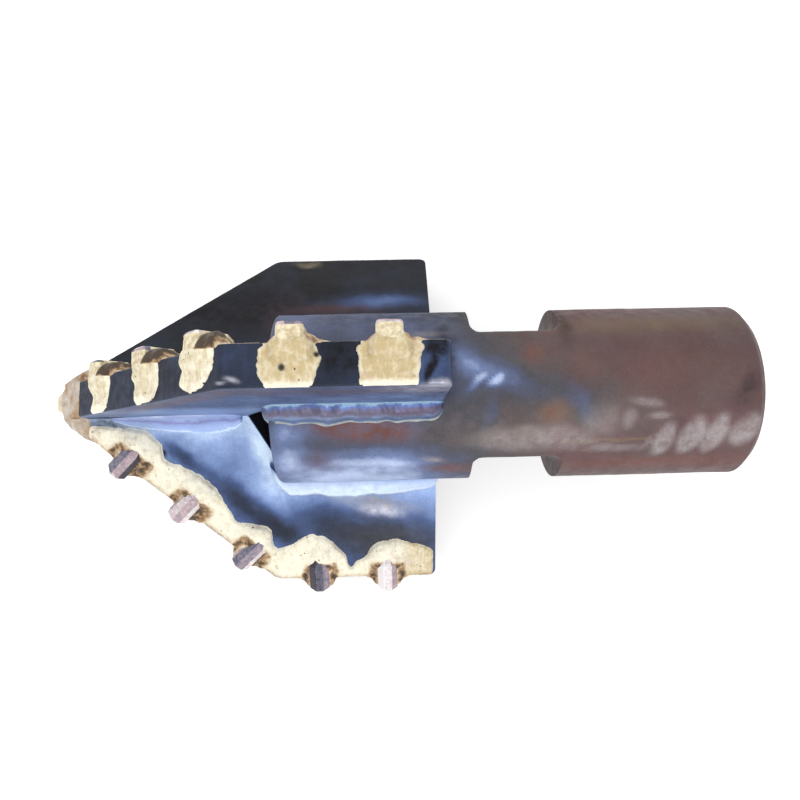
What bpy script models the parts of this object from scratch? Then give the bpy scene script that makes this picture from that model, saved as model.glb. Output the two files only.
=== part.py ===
"""Three-wing drag drill bit with brazed carbide teeth, lying on its wings.

A bored shank with a threaded socket carries three flame-cut wing plates. The plates sit
on the outside of the shank's front end and meet on the axis ahead of it in a 90 degree
cone, leaving a mouth for the flushing fluid between them and the open end of the bore.
Octagonal carbide teeth are let into each wing's edge and brazed in, and one chisel
insert, brazed in too, caps the nose.

The bit's axis lies along X with the nose towards -X. Stations along the axis are counted
from the point of the cone. A wing is drawn standing up: X along the axis, Y towards its
leading face, Z away from the axis. Its frame is then turned about the axis.
"""
import bpy
import bmesh
from math import atan2, cos, hypot, pi, radians, sin, sqrt, tan
from mathutils import Matrix, Vector

MM = 0.001
CLEARANCE = 0.3 * MM          # between neighbouring solids

# Wings
WING_RADIUS = 109 * MM
WING_THICKNESS = 18 * MM
CONE_HALF_ANGLE = radians(45)
GAUGE_CORNER = 9 * MM         # radius where the cone meets the gauge edge
REAR_CORNER = 4 * MM
WING_SEAT = 83 * MM           # length of a wing's foot on the shank
MOUTH_LENGTH = 18.5 * MM      # from the wings' parting on the axis to the shank
MOUTH_LAND = 8.5 * MM         # height of a wing's seat on the shank's front face
WING_ANGLES = (0, radians(120), radians(234))   # about the axis, the third set by hand

# Teeth
TOOTH_WIDTH = 12.5 * MM       # across the flats of the octagon
TOOTH_LENGTH = 22 * MM
TOOTH_STANDOUT = 6 * MM       # past the wing's edge
TOOTH_PROUD = 7.5 * MM        # of the wing's leading face
TOOTH_CHAMFER = 1 * MM
CONE_PITCH = 31 * MM          # in station
CONE_MARGIN = 15.5 * MM       # from the last tooth on the cone to the gauge edge
GAUGE_LEAD = 26 * MM          # from the start of the gauge edge to its first tooth
GAUGE_PITCH = 39 * MM
GAUGE_TEETH = 2
REAR_MARGIN = 26 * MM         # from the last tooth to the wing's rear edge
WING_STAGGER = (1.5 * MM, -1.5 * MM, 0)   # shift of each wing's row, so that cuts overlap

# Braze round each tooth
BRAZE_GAP = 4 * MM            # between neighbours at the tightest pitch
BRAZE_EDGE_SHARE = 0.75       # of its span that the braze keeps on the edge face
BRAZE_BACK = 6 * MM           # past the tooth's inner end
BRAZE_SHY = 2 * MM            # of the tooth's outer faces
BRAZE_FEATHER = 0.7 * MM      # thickness where it runs out
BRAZE_END_SHARE = 0.45        # of its depth that it keeps at its two ends
BRAZE_REAR_MARGIN = 1.5 * MM  # bare steel left beside the trailing face
BRAZE_SQUARENESS = 0.5        # power of the sine and cosine that round its dome

# Nose insert and its braze
NOSE_RIDGE_HALF = 3 * MM
NOSE_RIDGE_FLAT = 0.5 * MM    # half width of the worn ridge
NOSE_TIP = 0 * MM             # station of the ridge
NOSE_SEAT = 15 * MM           # station of the flat bottom
NOSE_BRAZE_STEP = 0.5 * MM    # from the insert's eaves back to its braze
NOSE_BRAZE_COVER = 2.7 * MM   # thickness over the middle of the wings' edges
NOSE_BRAZE_EDGE = 0.8 * MM    # thickness over the corners of the wings' tips
NOSE_BRAZE_REACH = 1.5 * MM   # along the axis, past the insert's bottom
NOSE_BRAZE_GAP = 1.2 * MM     # least gap to the braze of the first tooth

# Shank
SHANK_LENGTH = 241 * MM
SHANK_WALL = 10.32 * MM       # round the mouth of the socket
BORE_RADIUS = 20 * MM
FRONT_BEVEL = 3 * MM
REAR_BEVEL = 4 * MM
SOCKET_BASE_RADIUS = 33.34 * MM   # of the thread cone, if it ran out to the shoulder
SOCKET_TAPER = 1 / 8              # loss of radius along the socket
SOCKET_DEPTH = 92 * MM
SOCKET_MOUTH_RELIEF = 0.79 * MM   # of the plain mouth, past the thread cone's base
SOCKET_MOUTH_DEPTH = 15.9 * MM
FLATS_GAP = 16 * MM           # from the wings' rear edge
FLATS_LENGTH = 45 * MM
FLATS_DEPTH = 13.2 * MM       # below the round of the shank
FLATS_CORNER = 3 * MM
FLATS_TURN = radians(7)       # of the wrench flats from the first wing

# Welds
WING_BEAD_LEG = 9 * MM
WING_BEAD_BULGE = 1.8 * MM    # past a straight face
GROOVE_BEAD_LEG = 7 * MM
GROOVE_BEAD_BULGE = 1 * MM
GROOVE_BEAD_START = 46 * MM
GROOVE_BEAD_STOP = 2 * MM     # ahead of the mouth
BEAD_MARGIN = 1 * MM          # to the end of the wing's foot and to the shank's bevel
BEAD_ROUND = 5 * MM           # length over which a bead swells at its ends
BEAD_END_SHARE = 0.45         # of its full size that a bead has at its ends

# Fineness of round shapes
LATHE_STEPS = 64
CORNER_STEPS = 4
DOME_STEPS = 3
BRAZE_SECTIONS = 11
SHARP_ANGLE = radians(35)
MERGE_DISTANCE = 0.001 * MM

# Sizes that follow from those above
CORNER_STATION = WING_RADIUS / tan(CONE_HALF_ANGLE)
WING_REAR = CORNER_STATION + GAUGE_LEAD + (GAUGE_TEETH - 1) * GAUGE_PITCH + REAR_MARGIN
SHANK_FRONT = WING_REAR - WING_SEAT
SHANK_END = SHANK_FRONT + SHANK_LENGTH
SOCKET_MOUTH_RADIUS = SOCKET_BASE_RADIUS + SOCKET_MOUTH_RELIEF
SHANK_RADIUS = SOCKET_MOUTH_RADIUS + SHANK_WALL
MOUTH_START = SHANK_FRONT - MOUTH_LENGTH
NOSE_HALF_WIDTH = WING_THICKNESS / 2
BRAZE_HALF_SPAN = (min(CONE_PITCH / cos(CONE_HALF_ANGLE), GAUGE_PITCH) - BRAZE_GAP) / 2
NOSE_BRAZE_END = NOSE_SEAT + NOSE_BRAZE_REACH
FIRST_TOOTH_ROOM = (NOSE_BRAZE_GAP + BRAZE_HALF_SPAN) * cos(CONE_HALF_ANGLE) - min(WING_STAGGER)


def material(name, colour, roughness, metallic):
    """Principled material of one finish."""
    made = bpy.data.materials.new(name)
    made.use_nodes = True
    shader = made.node_tree.nodes["Principled BSDF"]
    shader.inputs["Base Color"].default_value = (*colour, 1)
    shader.inputs["Roughness"].default_value = roughness
    shader.inputs["Metallic"].default_value = metallic
    made.diffuse_color = (*colour, 1)
    return made


def finished_mesh(name, bm):
    """Mesh from a bmesh, with its faces outwards and its round faces shaded smooth."""
    bmesh.ops.recalc_face_normals(bm, faces=bm.faces)
    mesh = bpy.data.meshes.new(name)
    bm.to_mesh(mesh)
    bm.free()
    mesh.shade_smooth()
    mesh.set_sharp_from_angle(angle=SHARP_ANGLE)
    return mesh


def add_object(name, mesh, parent, finish=None, place=None):
    """Object in the scene, placed in its parent's frame."""
    made = bpy.data.objects.new(name, mesh)
    bpy.context.collection.objects.link(made)
    made.parent = parent
    if place is not None:
        made.matrix_local = place
    if finish is not None:
        made.data.materials.clear()
        made.data.materials.append(finish)
    return made


def add_cutter(name, mesh, parent, place=None):
    """Guide solid that is only cut away from others."""
    made = add_object(name, mesh, parent, place=place)
    made.hide_render = True
    made.display_type = 'WIRE'
    return made


def cut(target, cutter):
    """Take a cutter's solid away from a target."""
    boolean = target.modifiers.new(cutter.name, 'BOOLEAN')
    boolean.operation = 'DIFFERENCE'
    boolean.object = cutter


def frame(name, parent, place):
    """Empty that carries the solids drawn in one frame."""
    made = bpy.data.objects.new(name, None)
    bpy.context.collection.objects.link(made)
    made.parent = parent
    made.matrix_local = place
    return made


def add_loft(bm, rings):
    """Skin a row of equal closed rings of points and close both ends."""
    loops = [[bm.verts.new(point) for point in ring] for ring in rings]
    for here, there in zip(loops, loops[1:]):
        for i, corner in enumerate(here):
            j = (i + 1) % len(here)
            bm.faces.new((corner, here[j], there[j], there[i]))
    bm.faces.new(loops[0])
    bm.faces.new(loops[-1])


def loft_mesh(name, rings):
    """Mesh of one loft."""
    bm = bmesh.new()
    add_loft(bm, rings)
    return finished_mesh(name, bm)


def lathe_mesh(name, profile):
    """Mesh turned about the axis from a closed half section of stations and radii."""
    bm = bmesh.new()
    points = [bm.verts.new((station, 0, radius)) for station, radius in profile]
    edges = [bm.edges.new((a, b)) for a, b in zip(points, points[1:] + points[:1])]
    bmesh.ops.spin(bm, geom=points + edges, axis=(1, 0, 0), cent=(0, 0, 0),
                   angle=2 * pi, steps=LATHE_STEPS, use_merge=True)
    bmesh.ops.remove_doubles(bm, verts=bm.verts, dist=MERGE_DISTANCE)
    return finished_mesh(name, bm)


def plate_mesh(name, outline, half_thickness):
    """Flat plate in a wing's frame from its outline of stations and radii."""
    rings = [[(x, y, z) for x, z in outline] for y in (-half_thickness, half_thickness)]
    return loft_mesh(name, rings)


def arc(centre, radius, start, end, steps):
    """Points on an arc in a plane, both ends included."""
    for i in range(steps + 1):
        angle = start + (end - start) * i / steps
        yield centre[0] + radius * cos(angle), centre[1] + radius * sin(angle)


def socket_radius(depth):
    """Radius of the socket's thread cone at a depth below the shoulder."""
    return SOCKET_BASE_RADIUS - depth * SOCKET_TAPER


def shank_profile():
    """Closed half section of the shank, as station and radius."""
    throat = SHANK_END - SOCKET_DEPTH
    throat_radius = socket_radius(SOCKET_DEPTH)
    mouth_end = SHANK_END - SOCKET_MOUTH_DEPTH
    return (
        (SHANK_FRONT, BORE_RADIUS),
        (SHANK_FRONT, SHANK_RADIUS - FRONT_BEVEL),
        (SHANK_FRONT + FRONT_BEVEL, SHANK_RADIUS),
        (SHANK_END - REAR_BEVEL, SHANK_RADIUS),
        (SHANK_END, SHANK_RADIUS - REAR_BEVEL),
        (SHANK_END, SOCKET_MOUTH_RADIUS),
        (mouth_end, SOCKET_MOUTH_RADIUS),
        (mouth_end, socket_radius(SOCKET_MOUTH_DEPTH)),
        (throat, throat_radius),
        (throat - abs(throat_radius - BORE_RADIUS), BORE_RADIUS),
    )


def flat_cutter_mesh(side):
    """Slab that mills one wrench flat, with round corners at its floor."""
    front = WING_REAR + FLATS_GAP
    rear = front + FLATS_LENGTH
    floor = SHANK_RADIUS - FLATS_DEPTH
    top = SHANK_RADIUS + FLATS_CORNER
    outline = [(rear, top), (front, top)]
    outline += arc((front + FLATS_CORNER, floor + FLATS_CORNER), FLATS_CORNER,
                   pi, 1.5 * pi, CORNER_STEPS)
    outline += arc((rear - FLATS_CORNER, floor + FLATS_CORNER), FLATS_CORNER,
                   1.5 * pi, 2 * pi, CORNER_STEPS)
    rings = [[(x, side * y, z) for x, y in outline] for z in (-top, top)]
    return loft_mesh("flat_cutter", rings)


def wing_outline():
    """Outline of a wing plate, as station and radius, from the nose round by the gauge edge."""
    setback = GAUGE_CORNER * tan(CONE_HALF_ANGLE / 2)
    centre = (CORNER_STATION + setback, WING_RADIUS - GAUGE_CORNER)
    rear_centre = (WING_REAR - REAR_CORNER, WING_RADIUS - REAR_CORNER)
    seat = SHANK_RADIUS + CLEARANCE
    front = SHANK_FRONT - CLEARANCE
    points = [(0, 0)]
    points += arc(centre, GAUGE_CORNER, pi / 2 + CONE_HALF_ANGLE, pi / 2, CORNER_STEPS)
    points += arc(rear_centre, REAR_CORNER, pi / 2, 0, CORNER_STEPS)
    points += [(WING_REAR, seat), (front, seat), (front, SHANK_RADIUS - MOUTH_LAND), (MOUTH_START, 0)]
    return points


def mitre_mesh(back_angle, lead_angle):
    """Wedge that trims a wing's inner edge to meet its two neighbours on the axis.

    The angles run from the wing to the planes midway to the neighbour on its trailing
    side and on its leading side.
    """
    reach = 2 * WING_THICKNESS
    lift = CLEARANCE / 2 / sin(min(back_angle, lead_angle))
    section = (
        (0, lift),
        (reach, lift + reach / tan(lead_angle)),
        (reach, -reach),
        (-reach, -reach),
        (-reach, lift + reach / tan(back_angle)),
    )
    rings = [[(x, y, z) for y, z in section] for x in (-reach, SHANK_FRONT)]
    return loft_mesh("mitre", rings)


def tooth_stations(index):
    """Stations of one wing's teeth from the nose back: those on the cone, then the gauge."""
    last = CORNER_STATION - CONE_MARGIN
    count = 1 + int((last - NOSE_BRAZE_END - FIRST_TOOTH_ROOM) / CONE_PITCH)
    cone = [last - CONE_PITCH * i for i in reversed(range(count))]
    gauge = [CORNER_STATION + GAUGE_LEAD + GAUGE_PITCH * i for i in range(GAUGE_TEETH)]
    return [station + WING_STAGGER[index] for station in cone + gauge]


def edge_place(station):
    """Frame of a tooth: X along the wing's edge, Y leading, Z out, on the leading corner."""
    leading = WING_THICKNESS / 2
    if station > CORNER_STATION:
        return Matrix.Translation((station, leading, WING_RADIUS))
    place = Matrix.Translation((station, leading, station * tan(CONE_HALF_ANGLE)))
    return place @ Matrix.Rotation(-CONE_HALF_ANGLE, 4, 'Y')


def octagon(half_flats):
    """Corners of an octagon across its flats, as X and Y about its middle."""
    corner = half_flats / cos(pi / 8)
    return [(corner * cos(pi / 8 + i * pi / 4), corner * sin(pi / 8 + i * pi / 4)) for i in range(8)]


def tooth_rings(margin, chamfer):
    """Rings of a tooth, or of its seat when it has a margin, along the tooth's own length."""
    half = TOOTH_WIDTH / 2
    middle = TOOTH_PROUD - half
    inner = TOOTH_STANDOUT - TOOTH_LENGTH - margin
    outer = TOOTH_STANDOUT + margin
    levels = [(inner, half + margin), (outer - chamfer, half + margin)]
    if chamfer > 0:
        levels.append((outer, half + margin - chamfer))
    return [[(x, y + middle, z) for x, y in octagon(size)] for z, size in levels]


def dome(length, height):
    """Quarter outline of a boxy dome, from its crown out to its rim, along and up."""
    for i in range(DOME_STEPS + 1):
        angle = pi / 2 * i / DOME_STEPS
        yield length * sin(angle) ** BRAZE_SQUARENESS, height * abs(cos(angle)) ** BRAZE_SQUARENESS


def braze_section(share):
    """Cross-section of the braze at a share of its half span, as outward and leading.

    It wraps the leading corner of the wing: an inner skin along the two steel faces,
    then an outer skin that swells over the middle and feathers out at the sides.
    """
    swell = sqrt(max(0, 1 - share ** 2))
    edge_swell = sqrt(max(0, 1 - (share / BRAZE_EDGE_SHARE) ** 2))
    full_depth = TOOTH_LENGTH - TOOTH_STANDOUT + BRAZE_BACK
    depth = full_depth * (BRAZE_END_SHARE + (1 - BRAZE_END_SHARE) * swell)
    foot = CLEARANCE + BRAZE_FEATHER
    face = (TOOTH_PROUD - BRAZE_SHY - BRAZE_FEATHER) * swell
    edge = (TOOTH_STANDOUT - BRAZE_SHY - BRAZE_FEATHER) * edge_swell
    rear = WING_THICKNESS - BRAZE_REAR_MARGIN
    over_edge = [(foot + up, -along) for along, up in dome(rear, edge)]
    over_face = [(-along, foot + up) for along, up in dome(depth, face)]
    corner = ((foot + edge) * cos(pi / 4), (foot + face) * sin(pi / 4))
    return [(-depth, CLEARANCE), (CLEARANCE, CLEARANCE), (CLEARANCE, -rear),
            *reversed(over_edge), corner, *over_face]


def turned(angle, leading, radial):
    """Place in Y and Z of a point on a wing that is turned by angle about the axis."""
    y = leading * cos(angle) - radial * sin(angle)
    z = leading * sin(angle) + radial * cos(angle)
    return y, z


def resting_place():
    """Frame of the bit's axis when it lies on its second and third wings.

    The second wing rests on the trailing corner of its plate and the third on its teeth.
    Across, the bit's middle is midway between the reach of these two wings.
    """
    half = WING_THICKNESS / 2
    outer = (half + TOOTH_PROUD - TOOTH_CHAMFER, WING_RADIUS + TOOTH_STANDOUT)
    ground = (half + TOOTH_PROUD, WING_RADIUS + TOOTH_STANDOUT - TOOTH_CHAMFER)
    corners = [(half + leading, WING_RADIUS + out) for out, leading in braze_section(0)]
    corners += [(-half, WING_RADIUS), outer, ground]
    second = turned(WING_ANGLES[1], -half, WING_RADIUS)
    third = turned(WING_ANGLES[2], *ground)
    lean = atan2(second[1] - third[1], third[0] - second[0])
    near = min(turned(lean + WING_ANGLES[1], *corner)[0] for corner in corners)
    far = max(turned(lean + WING_ANGLES[2], *corner)[0] for corner in corners)
    height = -turned(lean + WING_ANGLES[2], *ground)[1]
    middle = (NOSE_TIP + SHANK_END) / 2
    return Matrix.Translation((-middle, -(near + far) / 2, height)) @ Matrix.Rotation(lean, 4, 'X')


def braze_rings():
    """Rings of the braze along the wing's edge, closer together towards the ends."""
    rings = []
    for i in range(BRAZE_SECTIONS):
        share = -cos(pi * i / (BRAZE_SECTIONS - 1))
        x = BRAZE_HALF_SPAN * share
        rings.append([(x, leading, out) for out, leading in braze_section(share)])
    return rings


def braze_mesh(axis):
    """Braze with its tooth's seat cut through it, made once and shared by every tooth."""
    blank = add_object("braze_blank", loft_mesh("braze", braze_rings()), axis)
    seat = add_cutter("braze_seat_cutter", loft_mesh("seat", tooth_rings(CLEARANCE, 0)), axis)
    cut(blank, seat)
    bpy.context.view_layer.update()
    evaluated = blank.evaluated_get(bpy.context.evaluated_depsgraph_get())
    mesh = bpy.data.meshes.new_from_object(evaluated)
    bpy.data.objects.remove(blank)
    bpy.data.objects.remove(seat)
    return mesh


def rectangle(x, y, z):
    """Ring of a rectangle across the axis, from its station and its half sides."""
    return [(x, y, z), (x, -y, z), (x, -y, -z), (x, y, -z)]


def nose_mesh():
    """Nose insert: a square block with a hipped, chisel-like roof."""
    half = NOSE_HALF_WIDTH
    return loft_mesh("nose_insert", (
        rectangle(NOSE_TIP, NOSE_RIDGE_HALF, NOSE_RIDGE_FLAT),
        rectangle(NOSE_TIP + half, half, half),
        rectangle(NOSE_SEAT, half, half),
    ))


def nose_seat_mesh():
    """Square hole for the nose insert, open ahead of the wings."""
    half = NOSE_HALF_WIDTH + CLEARANCE
    return loft_mesh("nose_seat", (
        rectangle(NOSE_TIP - half, half, half),
        rectangle(NOSE_SEAT + CLEARANCE, half, half),
    ))


def nose_braze_profile():
    """Closed half section of the nose braze's blank, square to the cone and along it."""
    along = Vector((cos(CONE_HALF_ANGLE), sin(CONE_HALF_ANGLE)))
    inwards = Vector((sin(CONE_HALF_ANGLE), -cos(CONE_HALF_ANGLE)))
    limit = along * (NOSE_BRAZE_END / along.x)
    rim = limit - inwards * NOSE_BRAZE_COVER
    inner = NOSE_HALF_WIDTH / 2
    root = limit + inwards * ((limit.y - inner) / -inwards.y)
    front = NOSE_TIP + NOSE_HALF_WIDTH + NOSE_BRAZE_STEP
    front_radius = hypot(front * tan(CONE_HALF_ANGLE), WING_THICKNESS / 2) + CLEARANCE + NOSE_BRAZE_EDGE
    return (front, inner), (front, front_radius), rim, root


def wing_clearance_mesh():
    """Tip of a wing grown by the clearance, for what lies against it."""
    apex = -CLEARANCE / sin(CONE_HALF_ANGLE)
    outline = ((apex, 0), (apex + CORNER_STATION, WING_RADIUS), (CORNER_STATION, 0))
    return plate_mesh("wing_clearance", outline, WING_THICKNESS / 2 + CLEARANCE)


def bead_stations(start, end):
    """Stations along a bead, each with its share of the full size, rounded at both ends."""
    shares = []
    for i in range(CORNER_STEPS + 1):
        angle = pi / 2 * i / CORNER_STEPS
        swell = BEAD_END_SHARE + (1 - BEAD_END_SHARE) * sin(angle)
        shares.append((start + BEAD_ROUND * (1 - cos(angle)), swell))
    return shares + [(start + end - station, share) for station, share in reversed(shares)]


def bead_face(toe, other_toe, outwards, bulge):
    """Face of a bead between its two toes, bulged outwards as a parabola."""
    for i in range(CORNER_STEPS + 1):
        share = i / CORNER_STEPS
        yield toe.lerp(other_toe, share) + outwards * (bulge * 4 * share * (1 - share))


def wing_bead_mesh(side):
    """Fillet bead along one side of a wing's foot on the shank."""
    start = SHANK_FRONT + FRONT_BEVEL + BEAD_MARGIN
    outwards = Vector((1, 1)).normalized()
    rings = []
    for station, share in bead_stations(start, WING_REAR - BEAD_MARGIN):
        leg = WING_BEAD_LEG * share
        section = [Vector((CLEARANCE, CLEARANCE))]
        section += bead_face(Vector((CLEARANCE, leg)), Vector((leg, CLEARANCE)),
                             outwards, WING_BEAD_BULGE * share)
        section.append(Vector((leg / 2, CLEARANCE)))
        ring = []
        for point in section:
            y = WING_THICKNESS / 2 + point.x
            foot = sqrt((SHANK_RADIUS + CLEARANCE) ** 2 - y ** 2)
            ring.append((station, side * y, foot + point.y - CLEARANCE / 2))
        rings.append(ring)
    return loft_mesh("wing_weld", rings)


def groove_bead_mesh(half_gap):
    """Fillet bead in the groove between two wings, drawn with the groove's middle plane up.

    half_gap is the angle from that plane to each wing.
    """
    corner = (WING_THICKNESS / 2 + CLEARANCE) / sin(half_gap)
    right = Vector((sin(half_gap), cos(half_gap)))
    left = Vector((-sin(half_gap), cos(half_gap)))
    rings = []
    for station, share in bead_stations(GROOVE_BEAD_START, MOUTH_START - GROOVE_BEAD_STOP):
        leg = GROOVE_BEAD_LEG * share
        section = [Vector((0, 0))]
        section += bead_face(left * leg, right * leg, Vector((0, 1)), GROOVE_BEAD_BULGE * share)
        rings.append([(station, point.x, corner + point.y) for point in section])
    return loft_mesh("groove_weld", rings)


def build_shank(axis, finish):
    """Shank with its wrench flats."""
    place = Matrix.Rotation(FLATS_TURN, 4, 'X')
    shank = add_object("shank_body", lathe_mesh("shank_body", shank_profile()), axis, finish, place)
    for name, side in (("upper_flat_cutter", 1), ("lower_flat_cutter", -1)):
        cut(shank, add_cutter(name, flat_cutter_mesh(side), axis, place))


def build_nose(axis, finishes):
    """Nose insert in its braze, and the cutter of the seat that the wings' tips leave for it."""
    add_object("nose_insert", nose_mesh(), axis, finishes["tooth"])
    seat = add_cutter("nose_seat_cutter", nose_seat_mesh(), axis)
    blank = lathe_mesh("nose_braze", nose_braze_profile())
    braze = add_object("nose_braze", blank, axis, finishes["braze"])
    cut(braze, seat)
    tip = wing_clearance_mesh()
    for number, angle in enumerate(WING_ANGLES, start=1):
        place = Matrix.Rotation(angle, 4, 'X')
        cut(braze, add_cutter(f"wing_{number}_tip_cutter", tip, axis, place))
    return seat


def half_angles(index):
    """Half of the angle from a wing to its trailing and to its leading neighbour."""
    ahead = (WING_ANGLES[index - 1] - WING_ANGLES[index]) % (2 * pi)
    behind = (WING_ANGLES[(index + 1) % len(WING_ANGLES)] - WING_ANGLES[index]) % (2 * pi)
    return behind / 2, (2 * pi - ahead) / 2


def build_wing(index, axis, nose_seat, finishes, braze):
    """One wing with its teeth, their braze and its two welds to the shank."""
    number = index + 1
    holder = frame(f"wing_{number}_frame", axis, Matrix.Rotation(WING_ANGLES[index], 4, 'X'))
    plate = plate_mesh(f"wing_{number}", wing_outline(), WING_THICKNESS / 2)
    wing = add_object(f"wing_{number}", plate, holder, finishes["wing"])
    behind, ahead = half_angles(index)
    cut(wing, add_cutter(f"wing_{number}_mitre_cutter", mitre_mesh(behind, ahead), holder))
    seats = bmesh.new()
    tooth = loft_mesh("tooth", tooth_rings(0, TOOTH_CHAMFER))
    for count, station in enumerate(tooth_stations(index), start=1):
        place = edge_place(station)
        add_loft(seats, [[place @ Vector(point) for point in ring] for ring in tooth_rings(CLEARANCE, 0)])
        add_object(f"tooth_{number}_{count}", tooth, holder, finishes["tooth"], place)
        add_object(f"braze_{number}_{count}", braze, holder, finishes["braze"], place)
    cut(wing, add_cutter(f"wing_{number}_seats_cutter", finished_mesh("seats", seats), holder))
    cut(wing, nose_seat)
    for name, side in (("leading", 1), ("trailing", -1)):
        add_object(f"wing_weld_{number}_{name}", wing_bead_mesh(side), holder, finishes["weld"])


def build_groove_weld(index, axis, finish):
    """Weld in the groove between a wing and the next one round the axis."""
    half_gap = half_angles(index)[0]
    place = Matrix.Rotation(WING_ANGLES[index] + half_gap, 4, 'X')
    add_object(f"groove_weld_{index + 1}", groove_bead_mesh(half_gap), axis, finish, place)


def main():
    """Clear the scene and build the bit."""
    for old in list(bpy.data.objects):
        bpy.data.objects.remove(old)
    finishes = {
        "shank": material("mill_scaled_steel", (0.19, 0.13, 0.12), 0.55, 0.6),
        "wing": material("heat_blued_steel", (0.16, 0.22, 0.36), 0.35, 0.85),
        "tooth": material("carbide", (0.28, 0.26, 0.28), 0.45, 0.7),
        "braze": material("brass_braze", (0.72, 0.60, 0.32), 0.45, 0.7),
        "weld": material("weld_bead", (0.35, 0.42, 0.55), 0.3, 0.9),
    }
    axis = frame("bit_axis", None, resting_place())
    build_shank(axis, finishes["shank"])
    nose_seat = build_nose(axis, finishes)
    braze = braze_mesh(axis)
    for index in range(len(WING_ANGLES)):
        build_wing(index, axis, nose_seat, finishes, braze)
        build_groove_weld(index, axis, finishes["weld"])


main()
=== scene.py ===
"""Looks of the three-wing drag bit: heat-tinted steel, brass braze and worn carbide.

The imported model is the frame. Every visible piece is worked out here in millimetres in
the bit's own terms (a station along the axis from the point of the cone, a distance
towards a wing's leading face and a distance out from the axis) and then put in its place.
"""
import logging
from dataclasses import dataclass, field
from enum import Enum
from functools import cached_property
from itertools import product
from math import cos, pi, radians, sin, tan
from typing import Any

import bpy
import numpy as np
from mathutils import Matrix, Vector


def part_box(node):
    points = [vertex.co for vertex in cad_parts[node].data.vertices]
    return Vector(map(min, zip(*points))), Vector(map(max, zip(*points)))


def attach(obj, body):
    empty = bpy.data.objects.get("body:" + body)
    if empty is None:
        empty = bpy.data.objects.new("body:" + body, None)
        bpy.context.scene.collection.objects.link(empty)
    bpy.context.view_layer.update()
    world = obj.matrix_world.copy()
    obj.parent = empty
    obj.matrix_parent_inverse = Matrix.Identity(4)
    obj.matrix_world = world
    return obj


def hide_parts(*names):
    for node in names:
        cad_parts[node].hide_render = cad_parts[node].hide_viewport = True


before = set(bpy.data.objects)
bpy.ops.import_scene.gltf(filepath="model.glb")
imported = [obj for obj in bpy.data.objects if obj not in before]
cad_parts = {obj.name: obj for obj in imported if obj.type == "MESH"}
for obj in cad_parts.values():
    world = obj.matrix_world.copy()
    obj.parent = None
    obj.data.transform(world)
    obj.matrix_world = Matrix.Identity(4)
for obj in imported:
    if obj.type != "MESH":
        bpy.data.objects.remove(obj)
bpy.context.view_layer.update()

MM = 0.001
LATTICE = 32                  # cells of the random table before it repeats
BODY = "root"
Triple = tuple[float, float, float]
Stops = tuple[tuple[float, Triple], ...]
Masks = dict[str, np.ndarray]
Socket = bpy.types.NodeSocket
Material = bpy.types.Material
log = logging.getLogger("bit")


# Sizes that the sub-assemblies share, as in the solids

@dataclass(frozen=True)
class Bit:
    """Sizes of the whole bit, in millimetres and degrees, and the place of its axis."""
    lean: float = 5.98006             # of the first wing from upright
    wing_radius: float = 109.0
    half_plate: float = 9.0
    gauge_corner: float = 9.0
    rear_corner: float = 4.0
    wing_rear: float = 200.0
    mouth_start: float = 98.5
    mouth_end: float = 116.7
    mouth_land: float = 35.95
    shank_front: float = 117.0
    shank_end: float = 358.0
    shank_radius: float = 44.45
    wing_angles: tuple[float, ...] = (0.0, 120.0, 234.0)
    origin: Triple = (-179.0, 0.86, 71.32)

    def place(self, angle: Any, station: Any, leading: Any, radial: Any) -> np.ndarray:
        """Turn bit coordinates into the model's frame.

        A point on a part turned by an angle about the axis goes to
        (station, leading cos - radial sin, leading sin + radial cos), moved to the axis.

        Args:
            angle: Degrees from the first wing about the axis.
            station: Distance along the axis.
            leading: Distance towards the leading side.
            radial: Distance out from the axis.

        Returns:
            Points in millimetres, with x, y and z on the last axis.
        """
        turn = np.radians(np.asarray(angle, float) + self.lean)
        y = leading * np.cos(turn) - radial * np.sin(turn)
        z = leading * np.sin(turn) + radial * np.cos(turn)
        x, y, z = np.broadcast_arrays(np.asarray(station, float), y, z)
        return np.stack([x, y, z], axis=-1) + self.origin

    def on_wing(self, index: int, station: Any, leading: Any, radial: Any) -> np.ndarray:
        """Points of one wing in the model's frame."""
        return self.place(self.wing_angles[index], station, leading, radial)

    def direction(self, angle: float, leading: float, radial: float) -> np.ndarray:
        """Unit vector across the axis, on a part turned by an angle."""
        turned = self.place(angle, 0.0, leading, radial) - self.place(angle, 0.0, 0.0, 0.0)
        return turned / np.linalg.norm(turned)

    def edge_radius(self, station: np.ndarray) -> np.ndarray:
        """Radius of a wing's edge: the 90 degree cone, a round corner, the gauge, a corner.

        On a round corner it is the centre's radius plus the square root of (the corner's
        radius squared less the distance along from its centre squared).

        Args:
            station: Where it is read.

        Returns:
            The radius at each station.
        """
        centre = self.wing_radius + self.gauge_corner * tan(radians(22.5))
        start = centre - self.gauge_corner * sin(radians(45))
        round_off = np.sqrt(np.maximum(self.gauge_corner ** 2 - (station - centre) ** 2, 0))
        corner = self.wing_radius - self.gauge_corner + round_off
        rear = self.wing_rear - self.rear_corner
        drop = np.sqrt(np.maximum(self.rear_corner ** 2 - np.maximum(station - rear, 0) ** 2, 0))
        outline = np.where(station < start, station, np.where(station < centre, corner, self.wing_radius))
        return np.where(station > rear, self.wing_radius - self.rear_corner + drop, outline)

    def half_angles(self, index: int) -> tuple[float, float]:
        """Half of the angle to the neighbour on the trailing side and on the leading side."""
        angles = self.wing_angles
        behind = (angles[(index + 1) % len(angles)] - angles[index]) % 360
        ahead = (angles[index] - angles[index - 1]) % 360
        return behind / 2, ahead / 2


def measured_bit() -> Bit:
    """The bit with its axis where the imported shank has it."""
    low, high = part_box("shank_body")
    middle = (low + high) / 2 / MM
    return Bit(origin=(low.x / MM - Bit.shank_front, middle.y, middle.z))


# Shapes of numbers

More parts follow.
